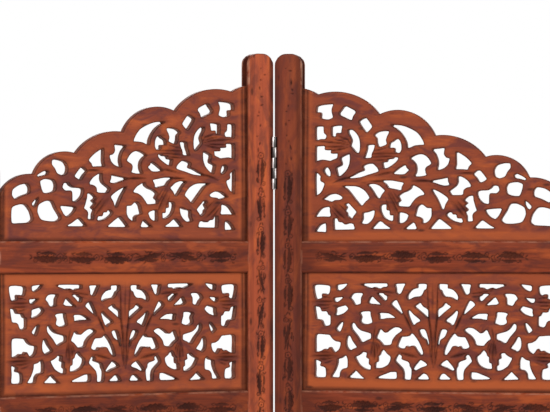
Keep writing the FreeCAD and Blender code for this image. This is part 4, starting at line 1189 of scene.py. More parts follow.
class PostOutline:
    """A post's closed section: its front, the walls of its groove and its back, in that order.

    It holds the places from the plain side and from the front, and the painted shade and the rubbing with
    painted highlight there."""

    def __init__(self, outer, edge_shade):
        edge_round = OUTER_EDGE_ROUND if outer else JOINT_EDGE_ROUND
        columns, set_back, in_band, slot = post_section(edge_round)
        slotted = columns >= slot - TOUCH
        self.face_size = len(columns)
        self.wall_size = slotted.sum()
        self.band = columns[in_band]
        short = np.clip(OUTER_EDGE_ROUND - columns, 0, OUTER_EDGE_ROUND)
        back_set = np.maximum(set_back, OUTER_EDGE_ROUND - np.sqrt(OUTER_EDGE_ROUND**2 - short**2))
        front = FRONT_FACE + set_back
        back = FRONT_FACE + POST_DEPTH - back_set
        walls = [MIDDLE_PLANE - GROOVE_WIDTH / 2, MIDDLE_PLANE + GROOVE_WIDTH / 2]
        walls = np.repeat(walls, self.wall_size)
        self.s = np.concatenate([columns, columns[slotted][::-1], columns[slotted], columns[::-1]])
        self.y = np.concatenate([front, walls, back[::-1]])
        self.size = len(self.s)
        number = np.arange(self.size)
        self.on_wall = (number >= self.face_size) & (number < self.face_size + 2 * self.wall_size)
        # Painted shade inside the groove, on the side by the boards, and along the plain edge and the edge
        # by the boards
        inner_side = self.on_wall | (np.abs(self.s - POST_WIDTH) < TOUCH)
        at_joint = self.s < EDGE_SHADE_WIDTH + TOUCH
        dark = np.where(at_joint, edge_shade[0], np.where(self.s > slot - TOUCH, edge_shade[1], 0.0))
        self.dark = np.where(inner_side, GROOVE_SHADE, dark)
        none = np.zeros(2 * self.wall_size, bool)
        banded = np.concatenate([in_band, none, in_band[::-1]])
        self.plain = ~(banded & np.roll(banded, -1))
        edge = set_back > LEAST_EDGE
        edges = np.concatenate([edge, none, edge[::-1]])
        # Edges worn and lit with a painted highlight, less on the plain side
        self.worn = edges * np.where(self.s > POST_WIDTH / 2, 1.0, SHELTERED_WEAR_AND_HIGHLIGHT)


def post_shaft(shell, outline, height, top, outer):
    """Add a post's plain faces from the floor to TOP, where its crown starts."""
    levels = post_levels(height, top, outer)
    count = len(levels)
    # The wear and painted highlight on the edges are full only where the post stands free above the boards
    free = np.where(levels > height - FREE_TOP, 1.0, SHELTERED_WEAR_AND_HIGHLIGHT)
    z = np.tile(levels, (outline.size, 1))
    s, y = np.tile(outline.s[:, None], count), np.tile(outline.y[:, None], count)
    if not outer:
        s, y = notched(s, y, z)
    faces = ring_faces(outline.size, count)[outline.plain].reshape(-1, 4)
    shell.add(np.stack([s, y, z], axis=-1).reshape(-1, 3), [faces],
              np.repeat(outline.dark, count), np.outer(outline.worn, free).ravel())


def crown_faces(outline, last):
    """Faces that close a crown over its top ring, whose points are LAST, around the groove."""
    n, m = outline.face_size, outline.wall_size
    front, back = last[:n], last[::-1][:n]
    walls = last[n:n + m][::-1], last[n + m:n + 2 * m]
    faces = []
    for a in range(n - 1):
        k = a - (n - m)
        if k < 0:
            faces.append([[front[a], front[a + 1], back[a + 1], back[a]]])
            continue
        faces.append([[front[a], front[a + 1], walls[0][k + 1], walls[0][k]]])
        faces.append([[walls[1][k], walls[1][k + 1], back[a + 1], back[a]]])
    return faces


def post_crown(shell, outline, height, start):
    """Add a post's rounded crown, with a small lip, from START up."""
    side = np.clip(CROWN_ROUND - np.minimum(outline.s, POST_WIDTH - outline.s), 0, CROWN_ROUND)
    crown = height - CROWN_ROUND + np.sqrt(CROWN_ROUND**2 - side**2)
    steps = [(share, 0.0, 0.0) for share in np.linspace(0, 1, 9)]
    for turn in np.radians([30, 60, 90]):
        steps.append((1.0, CROWN_LIP * (1 - math.cos(turn)), CROWN_LIP * math.sin(turn)))
    inwards = np.where(outline.y < MIDDLE_PLANE, 1, -1) * ~outline.on_wall
    rings = []
    for share, inset, rise in steps:
        z = start + (crown - CROWN_LIP - start) * share + rise
        rings.append(np.column_stack([outline.s, outline.y + inwards * inset, z]))
    count = len(steps)
    last = np.arange(outline.size) * count + count - 1
    faces = [ring_faces(outline.size, count).reshape(-1, 4)] + crown_faces(outline, last)
    lip = np.array([LIP_STAIN * (rise > 0) for share, inset, rise in steps])
    shell.add(np.stack(rings, axis=1).reshape(-1, 3), faces,
              np.maximum.outer(outline.dark, lip).ravel(), np.repeat(outline.worn, count))


def post_bands(shell, across, height, top, seed, band_drop):
    """Add the carved bands of a post's front and back, from the floor to TOP."""
    along = np.arange(0, top + BAND_STEP, BAND_STEP)
    along[-1] = top
    a, b = np.meshgrid(across - POST_WIDTH / 2, along, indexing="ij")
    half = BAND_WIDTH / 2
    for number, (face, inward) in enumerate([(FRONT_FACE, 1), (FRONT_FACE + POST_DEPTH, -1)]):
        strokes = vine(height - band_drop, 0.0, seed + number, half - VINE_MARGIN)
        strokes[1].extend(tool_marks(CROWN_ROUND - band_drop, 0, seed + number, half - MARK_MARGIN))
        depth, stain_and_shade = vine_relief(height - band_drop - b.ravel(), a.ravel(), strokes)
        points = np.column_stack([a.ravel() + POST_WIDTH / 2, face + inward * depth, b.ravel()])
        quads = sheet_faces(len(across), len(along))
        shell.add(points, [quads if inward > 0 else quads[:, ::-1]], stain_and_shade)


def post_piece(height, outer, seed, edge_shade, band_drop):
    """A post with a grooved inner side, a rounded crown and a carved vine on both faces.

    EDGE_SHADE is the painted shade on its plain edge and on the edge by the boards. The vine starts
    BAND_DROP below the top."""
    outline = PostOutline(outer, edge_shade)
    crown_start = height - CROWN_ROUND - CROWN_NECK
    shell = Shell()
    post_shaft(shell, outline, height, crown_start, outer)
    post_crown(shell, outline, height, crown_start)
    foot = np.column_stack([outline.s, outline.y, np.zeros(outline.size)])
    shell.add(foot, [np.arange(outline.size)[::-1][None]], FOOT_END_STAIN)
    post_bands(shell, outline.band, height, crown_start, seed, band_drop)
    points, faces, stain_and_shade, wear_and_highlight = shell.whole()
    if outer:
        points[:, 0] = PANEL_EDGE - points[:, 0]
        faces = [np.asarray(loops)[:, ::-1] for loops in faces]
    else:
        points[:, 0] += POST_FACE
    return points, faces, stain_and_shade, wear_and_highlight


def rail_bar(shell, start, end, half):
    """Add a rail's rounded edges and its ends, without the band of 2 * HALF along its faces."""
    front = MIDDLE_PLANE - RAIL_DEPTH / 2
    back = MIDDLE_PLANE + RAIL_DEPTH / 2
    edge = RAIL_HEIGHT / 2 + half
    turn = np.linspace(0, math.pi / 2, 6)
    curve_y, curve_z = RAIL_ROUND * (1 - np.cos(turn)), RAIL_ROUND * (1 - np.sin(turn))
    upper_y = np.concatenate([[front], front + curve_y, back - curve_y[::-1], [back]])
    upper_z = np.concatenate([[edge], RAIL_HEIGHT - curve_z, RAIL_HEIGHT - curve_z[::-1], [edge]])
    lower_y = upper_y[::-1]
    lower_z = RAIL_HEIGHT - upper_z[::-1]
    stations = np.linspace(start, end, 24)
    for path_y, path_z in [(upper_y, upper_z), (lower_y, lower_z)]:
        grid = np.stack([np.repeat(stations, len(path_y)), np.tile(path_y, len(stations)),
                         np.tile(path_z, len(stations))], axis=-1)
        # Painted shade on the lower rounded edges; wear and painted highlight on the upper ones
        upper = np.tile(path_z > RAIL_HEIGHT - RAIL_ROUND + 0.1, len(stations))
        lower = np.tile(path_z < RAIL_ROUND - 0.1, len(stations))
        shell.add(grid, [sheet_faces(len(stations), len(path_y))],
                  lower * RAIL_FOOT_SHADE, upper * RAIL_TOP_WEAR_AND_HIGHLIGHT)
    ring = np.column_stack([np.concatenate([upper_y, lower_y]), np.concatenate([upper_z, lower_z])])
    for x, order in [(start, 1), (end, -1)]:
        cap = np.column_stack([np.full(len(ring), x), ring])
        shell.add(cap, [np.arange(len(ring))[::-order][None]], RAIL_CAP_STAIN)


def rail_bands(shell, start, end, half, seed):
    """Add the carved bands of 2 * HALF along a rail's front and back."""
    along = np.arange(start, end + BAND_STEP, BAND_STEP)
    along[-1] = end
    across = np.linspace(-half, half, int(2 * half / BAND_STEP) + 1)
    a, b = np.meshgrid(along, across, indexing="ij")
    front = MIDDLE_PLANE - RAIL_DEPTH / 2
    back = MIDDLE_PLANE + RAIL_DEPTH / 2
    for number, (face, inward) in enumerate([(front, 1), (back, -1)]):
        length = OPENING_WIDTH - RAIL_VINE_MARGIN
        leaves, lines, flowers = vine(length, RAIL_VINE_START, seed + number, half - RAIL_MARGIN)
        strokes = [(points, width * RAIL_LEAF_SCALE) for points, width in leaves], lines, flowers
        depth, stain_and_shade = vine_relief(a.ravel() - start, b.ravel(), strokes)
        points = np.column_stack([a.ravel(), face + inward * depth, b.ravel() + RAIL_HEIGHT / 2])
        quads = sheet_faces(len(along), len(across))
        ends = np.minimum(a.ravel() - start, end - a.ravel()) < 1
        shell.add(points, [quads if inward > 0 else quads[:, ::-1]], stain_and_shade, ends * RAIL_TIP_WEAR)


def rail_piece(level, seed, end_stain, shade):
    """A rail with rounded edges and a carved vine along the middle of both faces.

    END_STAIN is how dark its end by the inner post is, and SHADE how dark it is all over."""
    shell = Shell()
    start, end = OPENING_START - RAIL_OVERLAP, OPENING_START + OPENING_WIDTH + RAIL_OVERLAP
    half = BAND_WIDTH * RAIL_BAND_SHARE
    rail_bar(shell, start, end, half)
    rail_bands(shell, start, end, half, seed)
    points, faces, stain_and_shade, wear_and_highlight = shell.whole()
    dusk = end_stain * np.clip(1.2 - (points[:, 0] - start) / END_STAIN_REACH, 0, 1)
    points[:, 2] += level
    return points, faces, np.maximum(stain_and_shade, np.maximum(dusk, shade)), wear_and_highlight


def turned(profile, segments=36):
    """A solid turned about the z axis from a profile of (radius, height) pairs."""
    profile = np.asarray(profile, float)
    turn = np.linspace(0, 2 * math.pi, segments, endpoint=False)
    radius, height = profile.T
    grid = np.stack([np.outer(np.cos(turn), radius), np.outer(np.sin(turn), radius),
                     np.tile(height, (segments, 1))], axis=-1)
    return grid.reshape(-1, 3), ring_faces(segments, len(profile)).reshape(-1, 4)


def hinge_levels():
    """Heights of the lower ends of the hinges."""
    return [LOWER_HINGE_HEIGHT, INNER_POST_HEIGHT - UPPER_HINGE_DISTANCE - HINGE_LENGTH]


def screw_levels(level):
    """Heights of a leaf's three screws."""
    return [level + HINGE_LENGTH * share for share in SCREW_PLACE_SHARES]


def add_box(shell, lower, upper, stain_and_shade=0.0):
    """Add a box from two opposite rings of four corners each."""
    sides = [(0, 1, 5, 4), (1, 2, 6, 5), (2, 3, 7, 6), (3, 0, 4, 7)]
    shell.add(lower + upper, [np.array([(3, 2, 1, 0), (4, 5, 6, 7)] + sides)], stain_and_shade)


def knuckle_profile(height):
    """The outline that a knuckle is turned from, as (radius, height) pairs."""
    bore = PIN_RADIUS + BORE_CLEARANCE
    ease, rise = KNUCKLE_EASE, KNUCKLE_EASE_RISE
    return [(bore, 0), (BARREL_RADIUS - ease, 0), (BARREL_RADIUS - rise, rise), (BARREL_RADIUS, ease),
            (BARREL_RADIUS, height - ease), (BARREL_RADIUS - rise, height - rise),
            (BARREL_RADIUS - ease, height), (bore, height), (bore, 0)]


def add_knuckle(shell, base, height, near, far):
    """Add one knuckle, with its painted highlight line and painted dark reflection, and the plate that
    joins it to its leaf.
    """
    points, quads = turned(knuckle_profile(height))
    x, y = points[:, 0], points[:, 1]
    # Painted highlight: a bright line down one side of each knuckle; the rest is painted dark as a
    # reflection, darkest away from the line
    facing = (x * math.cos(GLINT_TURN) - y * math.sin(GLINT_TURN)) / BARREL_RADIUS
    glint = np.clip((facing - GLINT_START) / GLINT_FADE, 0, 1)
    shell.add(points + [0, 0, base], [quads], (KNUCKLE_DARK_REFLECTION - KNUCKLE_DARK_REFLECTION_FALL * facing) * (1 - glint))
    plate = [(near, PLATE_START), (far, PLATE_START), (far, PLATE_END), (near, PLATE_END)]
    add_box(shell, [(*corner, base) for corner in plate], [(*corner, base + height) for corner in plate])


def add_plate(shell, level, near, far):
    """Add the flat part of a leaf with its screw holes."""
    ys = np.arange(LEAF_START, LEAF_WIDTH + LEAF_STEP / 2, LEAF_STEP)
    count = len(np.arange(level, level + HINGE_LENGTH + LEAF_STEP / 2, LEAF_STEP))
    zs = np.linspace(level, level + HINGE_LENGTH, count)
    turn = np.linspace(0, 2 * math.pi, 28, endpoint=False)
    circle = SCREW_HOLE_RADIUS * np.column_stack([np.cos(turn), np.sin(turn)])
    holes = [circle + [SCREW_ROW, z] for z in screw_levels(level)]
    flat, away, faces, edges = fretted_sheet(ys, zs, cut_field(ys, zs, holes))
    total = len(flat)
    outer = np.column_stack([np.full(total, near), flat])
    inner = np.column_stack([np.full(total, far), flat])
    walls = np.column_stack([edges[:, 0], edges[:, 1], edges[:, 1] + total, edges[:, 0] + total])
    shell.add(np.concatenate([outer, inner]),
              [loops[:, ::-1] for loops in faces.values()]
              + [loops + total for loops in faces.values()] + [walls])


def leaf_piece(side):
    """The leaves of both hinges on one panel: holed plates and eased knuckles."""
    shell = Shell()
    pitch = (HINGE_LENGTH + KNUCKLE_GAP) / KNUCKLE_COUNT
    near = LEAF_PARTING / 2
    far = near + LEAF_THICKNESS
    first = 0 if side == LEFT else 1
    for level in hinge_levels():
        for number in range(first, KNUCKLE_COUNT, 2):
            add_knuckle(shell, level + pitch * number, pitch - KNUCKLE_GAP, near, far)
        add_plate(shell, level, near, far)
    return shell.whole()


def pin_piece():
    """The hinge pins with their rounded heads."""
    shell = Shell()
    for level in hinge_levels():
        end = level + HINGE_LENGTH
        foot = [(radius, level - rise) for radius, rise in PIN_HEAD[::-1]]
        head = [(radius, end + rise) for radius, rise in PIN_HEAD]
        points, quads = turned(foot + [(PIN_RADIUS, level), (PIN_RADIUS, end)] + head, 28)
        shell.add(points, [quads])
    return shell.whole()


def screw_piece():
    """The countersunk screws of one panel's leaves, each with a crossed slot."""
    shell = Shell()
    near = LEAF_PARTING / 2
    low, high = [near + depth for depth in SCREW_SLOT_DEPTHS]
    cross = [(SCREW_SLOT_WIDTH, SCREW_SLOT_LENGTH), (SCREW_SLOT_LENGTH, SCREW_SLOT_WIDTH)]
    for level in hinge_levels():
        for place in screw_levels(level):
            points, quads = turned(SCREW_PROFILE, 24)
            x, y, z = points.T
            shell.add(np.column_stack([z + near, x + SCREW_ROW, y + place]), [quads])
            for wide, tall in cross:
                ring = [(-wide, -tall), (wide, -tall), (wide, tall), (-wide, tall)]
                lower, upper = [[(depth, SCREW_ROW + across, place + up) for across, up in ring]
                                for depth in (low, high)]
                # The slots are painted fully dark: painted shade
                add_box(shell, lower, upper, 1.0)
    return shell.whole()


def place_in_scene(points, side):
    """Points of a panel's own frame where they stand in the scene, in metres."""
    swing = math.radians(PANEL_SWING)
    x, y, z = points.T
    across = side * (x * math.cos(swing) + y * math.sin(swing))
    depth = HINGE_AXIS_Y - x * math.sin(swing) + y * math.cos(swing)
    return np.column_stack([across, depth, z]) / 1000


def border_glow(piece, height, foot, top):
    """The painted light on a board's plain borders, at its foot, at its top and beside the posts."""
    x, z = piece[0][:, 0], piece[0][:, 2]
    low = foot * np.clip((BORDER_WIDTH - z) / BORDER_FADE, 0, 1)
    high = top * np.clip((z - height + BORDER_WIDTH) / BORDER_FADE, 0, 1)
    inside = OPENING_WIDTH / 2 - np.abs(x)
    beside = SIDE_GLOW * np.clip((SIDE_BORDER_WIDTH - inside) / BORDER_FADE, 0, 1)
    return np.maximum(np.maximum(low, high), beside)


def make_object(name, piece, side, grain, material, seed, glow=None):
    """An object from a piece in a panel's frame. GRAIN is the axis that the wood runs along."""
    points, faces, stain_and_shade, wear_and_highlight = piece
    mesh = bpy.data.meshes.new(name)
    loops = [np.asarray(group) for group in faces]
    if side == LEFT:
        loops = [group[:, ::-1] for group in loops]
    sizes = np.concatenate([np.full(len(group), group.shape[1]) for group in loops])
    corners = np.concatenate([group.ravel() for group in loops])
    mesh.vertices.add(len(points))
    mesh.vertices.foreach_set("co", place_in_scene(points, side).ravel())
    mesh.loops.add(len(corners))
    mesh.loops.foreach_set("vertex_index", corners.astype(np.int32))
    mesh.polygons.add(len(sizes))
    starts = np.concatenate([[0], np.cumsum(sizes)[:-1]])
    mesh.polygons.foreach_set("loop_start", starts.astype(np.int32))
    mesh.update(calc_edges=True)
    mesh.validate()
    mesh.polygons.foreach_set("use_smooth", np.ones(len(mesh.polygons), bool))
    mesh.set_sharp_from_angle(angle=math.radians(SHARP_TURN))
    random = np.random.default_rng(seed)
    order = {"along_x": (0, 1, 2), "along_z": (2, 0, 1)}[grain]
    wood_place = points[:, order] / 1000 + random.uniform(-5, 5, 3)
    for label, kind, values in [("wood_place", "FLOAT_VECTOR", wood_place), ("stain_and_shade", "FLOAT", stain_and_shade),
                                ("wear_and_highlight", "FLOAT", wear_and_highlight), ("glow", "FLOAT", glow)]:
        if values is None:
            continue
        layer = mesh.attributes.new(label, kind, "POINT")
        layer.data.foreach_set("vector" if kind == "FLOAT_VECTOR" else "value",
                               np.ascontiguousarray(values, np.float32).ravel())
    mesh.materials.append(material)
    made = bpy.data.objects.new(name, mesh)
    bpy.context.scene.collection.objects.link(made)
    return made


def add_node(tree, kind, **settings):
    """A shader node with its plain settings."""
    node = tree.nodes.new(kind)
    for name, value in settings.items():
        setattr(node, name, value)
    return node


def link(tree, source, target):
    """Join an output to an input."""
    tree.links.new(source, target)


def mix_colours(tree, factor, first, second, mode="MIX"):
    """A colour mix. Each argument is a socket or a plain value."""
    node = add_node(tree, "ShaderNodeMix", data_type="RGBA", blend_type=mode)
    for index, value in [(0, factor), (6, first), (7, second)]:
        if isinstance(value, bpy.types.NodeSocket):
            link(tree, value, node.inputs[index])
        else:
            node.inputs[index].default_value = value
    return node.outputs[2]


def do_math(tree, operation, first, second=0.0, third=0.0):
    """One step of arithmetic, clamped to 0 and 1."""
    node = add_node(tree, "ShaderNodeMath", operation=operation, use_clamp=True)
    for index, value in enumerate([first, second, third]):
        if isinstance(value, bpy.types.NodeSocket):
            link(tree, value, node.inputs[index])
        else:
            node.inputs[index].default_value = value
    return node.outputs[0]


def stretch(tree, vector, scale):
    """A vector scaled by a different amount on each axis."""
    node = add_node(tree, "ShaderNodeVectorMath", operation="MULTIPLY")
    link(tree, vector, node.inputs[0])
    node.inputs[1].default_value = scale
    return node.outputs[0]


def noise(tree, vector, detail=4.0, roughness=0.55, distortion=0.0):
    """A noise texture over a scaled vector."""
    node = add_node(tree, "ShaderNodeTexNoise")
    link(tree, vector, node.inputs["Vector"])
    node.inputs["Scale"].default_value = 1.0
    node.inputs["Detail"].default_value = detail
    node.inputs["Roughness"].default_value = roughness
    node.inputs["Distortion"].default_value = distortion
    return node.outputs["Fac"]


def spread(tree, value, low, high):
    """Stretch a value so that LOW becomes 0 and HIGH becomes 1."""
    node = add_node(tree, "ShaderNodeMapRange")
    link(tree, value, node.inputs["Value"])
    node.inputs["From Min"].default_value = low
    node.inputs["From Max"].default_value = high
    return node.outputs["Result"]


def wood_pattern(tree, place, name):
    """One of the wood's patterns, drawn out along the grain."""
    along, across, detail, roughness, distortion = WOOD_PATTERNS[name]
    return noise(tree, stretch(tree, place, (along, across, across)), detail, roughness, distortion)


def add_sockets(tree):
    """The wood group's named inputs and outputs."""
    kinds = {"Place": "Vector", "Stain_And_Shade": "Float", "Wear_And_Highlight": "Float", "Light Wood": "Color",
             "Dark Wood": "Color", "Warm Wood": "Color", "Dusky Wood": "Color", "Stained Wood": "Color",
             "Worn Wood": "Color", "Streaks": "Float", "Patches": "Float", "Glow": "Float"}
    for name, kind in kinds.items():
        tree.interface.new_socket(name, in_out="INPUT", socket_type=f"NodeSocket{kind}")
    for name, kind in {"Colour": "Color", "Roughness": "Float", "Height": "Float"}.items():
        tree.interface.new_socket(name, in_out="OUTPUT", socket_type=f"NodeSocket{kind}")


def make_wood_group():
    """The finish that all the woods share: grain, patches, knots, carving darkened by staining and painted
    shade, rubbed edges with painted highlights, and painted glow.
    """
    tree = bpy.data.node_groups.new("oiled_carved_wood", "ShaderNodeTree")
    add_sockets(tree)
    given = add_node(tree, "NodeGroupInput").outputs
    out = add_node(tree, "NodeGroupOutput").inputs
    place = given["Place"]

    def multiply(first, second):
        """The product of two values of the group."""
        return do_math(tree, "MULTIPLY", first, second)

    fibres = wood_pattern(tree, place, "fibres")
    figure = wood_pattern(tree, place, "figure")
    broad = wood_pattern(tree, place, "broad")
    cloud = wood_pattern(tree, place, "cloud")
    grain = do_math(tree, "MULTIPLY_ADD", spread(tree, figure, 0.32, 0.68), FIGURE_SHARE,
                    multiply(spread(tree, fibres, 0.3, 0.7), 1 - FIGURE_SHARE))
    plain = multiply(do_math(tree, "SUBTRACT", 1.0, given["Streaks"]), PLAIN_TONE)
    tone = do_math(tree, "MULTIPLY_ADD", grain, given["Streaks"], plain)
    colour = mix_colours(tree, tone, given["Dark Wood"], given["Light Wood"])
    warm = multiply(spread(tree, broad, 0.5, 0.66), given["Patches"])
    colour = mix_colours(tree, warm, colour, given["Warm Wood"])
    dusk = multiply(spread(tree, cloud, 0.48, 0.64), given["Patches"])
    colour = mix_colours(tree, dusk, colour, given["Dusky Wood"])
    # Painted light: the plain borders turn warmer and lighter
    colour = mix_colours(tree, multiply(given["Glow"], GLOW_STRENGTH), colour, given["Warm Wood"])
    knots = add_node(tree, "ShaderNodeTexVoronoi")
    link(tree, stretch(tree, place, KNOT_SCALE), knots.inputs["Vector"])
    knots.inputs["Scale"].default_value = 1.0
    knot = do_math(tree, "SUBTRACT", 1.0, spread(tree, knots.outputs["Distance"], 0.05, 0.12))
    colour = mix_colours(tree, multiply(knot, KNOT_STRENGTH), colour, given["Stained Wood"])
    # Stain and painted shade, broken up by clouds
    clouds = do_math(tree, "MULTIPLY_ADD", spread(tree, cloud, 0.3, 0.7), STAIN_AND_SHADE_CLOUDS, 1 - STAIN_AND_SHADE_CLOUDS)
    colour = mix_colours(tree, multiply(given["Stain_And_Shade"], clouds), colour, given["Stained Wood"])
    # Wear and painted highlight, broken up by scuffs
    scuffs = wood_pattern(tree, place, "scuffs")
    wear_and_highlight = multiply(given["Wear_And_Highlight"], spread(tree, scuffs, 0.38, 0.6))
    colour = mix_colours(tree, multiply(wear_and_highlight, WEAR_AND_HIGHLIGHT_STRENGTH), colour, given["Worn Wood"])
    link(tree, colour, out["Colour"])
    rough = do_math(tree, "MULTIPLY_ADD", fibres, FIBRE_ROUGHNESS, WOOD_ROUGHNESS)
    rough = do_math(tree, "ADD", rough, multiply(given["Stain_And_Shade"], STAIN_AND_SHADE_ROUGHNESS))
    link(tree, rough, out["Roughness"])
    link(tree, do_math(tree, "MULTIPLY_ADD", fibres, 0.5, multiply(figure, 0.5)), out["Height"])
    return tree


def attribute(tree, name, output):
    """A value that the meshes carry at each point."""
    node = add_node(tree, "ShaderNodeAttribute", attribute_name=name, attribute_type="GEOMETRY")
    return node.outputs[output]


def add_bump(tree, surface, height, strength, distance):
    """A bump from a height of 0 to 1, with its distance in metres."""
    bump = add_node(tree, "ShaderNodeBump")
    bump.inputs["Strength"].default_value = strength
    bump.inputs["Distance"].default_value = distance
    link(tree, height, bump.inputs["Height"])
    link(tree, bump.outputs["Normal"], surface.inputs["Normal"])


def make_wood(name, group, streaks, patches, **colours):
    """One of the woods, from the shared finish and its own colours."""
    material = bpy.data.materials.new(name)
    material.use_nodes = True
    tree = material.node_tree
    surface = tree.nodes["Principled BSDF"]
    finish = add_node(tree, "ShaderNodeGroup", node_tree=group)
    link(tree, attribute(tree, "wood_place", "Vector"), finish.inputs["Place"])
    for label in ["stain_and_shade", "wear_and_highlight", "glow"]:
        link(tree, attribute(tree, label, "Fac"), finish.inputs[label.title()])
    for label, colour in {"stained": STAINED_AND_SHADED, "worn": WORN_AND_LIT, **colours}.items():
        finish.inputs[f"{label.title()} Wood"].default_value = (*colour, 1.0)
    finish.inputs["Streaks"].default_value = streaks
    finish.inputs["Patches"].default_value = patches
    link(tree, finish.outputs["Colour"], surface.inputs["Base Color"])
    link(tree, finish.outputs["Roughness"], surface.inputs["Roughness"])
    add_bump(tree, surface, finish.outputs["Height"], WOOD_BUMP, WOOD_BUMP_DISTANCE)
    surface.inputs["Specular IOR Level"].default_value = WOOD_SPECULAR
    return material


def make_steel(name, colour, rough):
    """Bright steel with fine scratches, with painted dark reflections and painted shade where the pieces
    ask for them.
    """
    material = bpy.data.materials.new(name)
    material.use_nodes = True
    tree = material.node_tree
    surface = tree.nodes["Principled BSDF"]
    place = attribute(tree, "wood_place", "Vector")
    scratches = noise(tree, stretch(tree, place, SCRATCH_SCALE), 3.0, 0.6)
    smudge = noise(tree, stretch(tree, place, SMUDGE_SCALE), 2.0, 0.5)
    smudged = [value * SMUDGE_SHARE for value in colour]
    shade = mix_colours(tree, spread(tree, smudge, 0.35, 0.7), (*colour, 1), (*smudged, 1))
    # Painted dark reflections and painted shade on the steel
    shade = mix_colours(tree, attribute(tree, "stain_and_shade", "Fac"), shade, STEEL_DARK)
    link(tree, shade, surface.inputs["Base Color"])
    rough = do_math(tree, "MULTIPLY_ADD", scratches, SCRATCH_ROUGHNESS, rough)
    link(tree, rough, surface.inputs["Roughness"])
    add_bump(tree, surface, scratches, STEEL_BUMP, STEEL_BUMP_DISTANCE)
    surface.inputs["Metallic"].default_value = 1.0
    return material


wood_group = make_wood_group()
jali_wood = make_wood("jali_wood", wood_group, streaks=0.22, patches=0.85,
                      light=(0.34, 0.070, 0.028), dark=(0.15, 0.034, 0.017),
                      warm=(0.42, 0.092, 0.027), dusky=(0.135, 0.033, 0.028))
rail_wood = make_wood("rail_wood", wood_group, streaks=0.9, patches=0.75,
                      light=(0.31, 0.056, 0.021), dark=(0.085, 0.018, 0.010),
                      warm=(0.40, 0.080, 0.022), dusky=(0.105, 0.024, 0.017))
warm_post_wood = make_wood("warm_post_wood", wood_group, streaks=0.7, patches=0.65,
                           light=(0.50, 0.098, 0.039), dark=(0.22, 0.046, 0.021),
                           warm=(0.57, 0.122, 0.033), dusky=(0.16, 0.040, 0.027))
dark_post_wood = make_wood("dark_post_wood", wood_group, streaks=0.75, patches=0.65,
                           light=(0.24, 0.047, 0.021), dark=(0.090, 0.020, 0.011),
                           warm=(0.32, 0.068, 0.021), dusky=(0.105, 0.026, 0.019))
bright_steel = make_steel("bright_steel", colour=(0.74, 0.71, 0.69), rough=0.22)


def finish_piece(piece, body, slot, *nodes):
    """Say which body a piece rides on and which frame pieces it replaces. SLOT, its finish, is not used."""
    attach(piece, body)
    if nodes:
        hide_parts(*nodes)


def warped(piece, seed, sag=0.0):
    """A copy of a board whose pattern strays a little, as hand cutting does, and sags by SAG."""
    points, faces, stain_and_shade, wear_and_highlight = piece
    random = np.random.default_rng(seed)
    turn = random.uniform(0, 2 * math.pi, 4)
    x, z = points[:, 0], points[:, 2]
    moved = points.copy()
    moved[:, 2] -= sag
    moved[:, 0] += SIDE_STRAY * np.sin(z / 42 + turn[0]) * np.cos(x / 61 + turn[1])
    moved[:, 2] += RISE_STRAY * np.sin(x / 47 + turn[2]) * np.cos(z / 38 + turn[3])
    return moved, faces, stain_and_shade, wear_and_highlight


def lifted(piece, level):
    """A board moved from the opening's frame to a panel's frame."""
    points, faces, stain_and_shade, wear_and_highlight = piece
    return points + [OPENING_MIDDLE, 0, level], faces, stain_and_shade, wear_and_highlight


def make_posts(word, side, number):
    """Both posts of a panel."""
    wood = warm_post_wood if side == LEFT else dark_post_wood
    for which, height in [("inner", INNER_POST_HEIGHT), ("outer", OUTER_POST_HEIGHT)]:
        seed = 100 * number + (10 if which == "inner" else 20)
        name = f"{word}_{which}_post"
        piece = post_piece(height, which == "outer", seed, POST_EDGE_SHADE[word], POST_BAND_DROP[word])
        post = make_object(f"{name}_carved", piece, side, "along_z", wood, seed)
        finish_piece(post, f"{word}_panel", "frame_wood", name)


def make_rails(word, side, number):
    """The rails of a panel, from the lowest up."""
    for rail in range(ROW_COUNT + 1):
        name = f"{word}_rail_{rail + 1}"
        seed = 1000 + 100 * number + 2 * rail
        level = FOOT_HEIGHT + ROW_PITCH * rail
        piece = rail_piece(level, seed, RAIL_END_STAIN[word], RAIL_SHADES.get(name, 0.0))
        bar = make_object(f"{name}_carved", piece, side, "along_x", rail_wood, seed)
        finish_piece(bar, f"{word}_panel", "frame_wood", name)


def make_boards(word, side, number):
    """The pierced boards of a panel's rows, from the lowest up, and of its crest."""
    glow = border_glow(plain_row, ROW_HEIGHT, *ROW_GLOW[word])
    boards = []
    for row in range(ROW_COUNT):
        seed = 2000 + 100 * number + row
        level = FOOT_HEIGHT + ROW_PITCH * row + RAIL_HEIGHT
        boards.append((f"{word}_row_jali_{row + 1}", warped(plain_row, seed), level, seed, glow))
    seed = 3000 + number
    glow = border_glow(plain_crest, CREST_HEIGHT, CREST_GLOW[word], 0)
    crest = warped(plain_crest, seed, CREST_SAG[word])
    boards.append((f"{word}_crest_jali", crest, CREST_LEVEL, seed, glow))
    for name, piece, level, seed, glow in boards:
        placed = lifted(piece, level)
        board = make_object(f"{name}_carved", placed, side, "along_x", jali_wood, seed, glow)
        finish_piece(board, f"{word}_panel", "jali_wood", name)


def make_hinges(word, side, number):
    """The hinge leaves of a panel and their screws."""
    leaves = make_object(f"{word}_leaves", leaf_piece(side), side, "along_z", bright_steel, 40 + number)
    finish_piece(leaves, f"{word}_panel", "hinge_steel", f"{word}_hinge_leaves")
    screws = make_object(f"{word}_screws", screw_piece(), side, "along_x", bright_steel, 50 + number)
    finish_piece(screws, f"{word}_panel", "hinge_steel")


# Each piece has a seed of its own, so that no two are carved alike.
plain_row = row_board()
plain_crest = crest_board()
for number, (word, side) in enumerate(SIDES.items()):
    make_posts(word, side, number)
    make_rails(word, side, number)
    make_boards(word, side, number)
    make_hinges(word, side, number)
pins = make_object("hinge_pins", pin_piece(), LEFT, "along_z", bright_steel, 60)
finish_piece(pins, "left_panel", "hinge_steel")


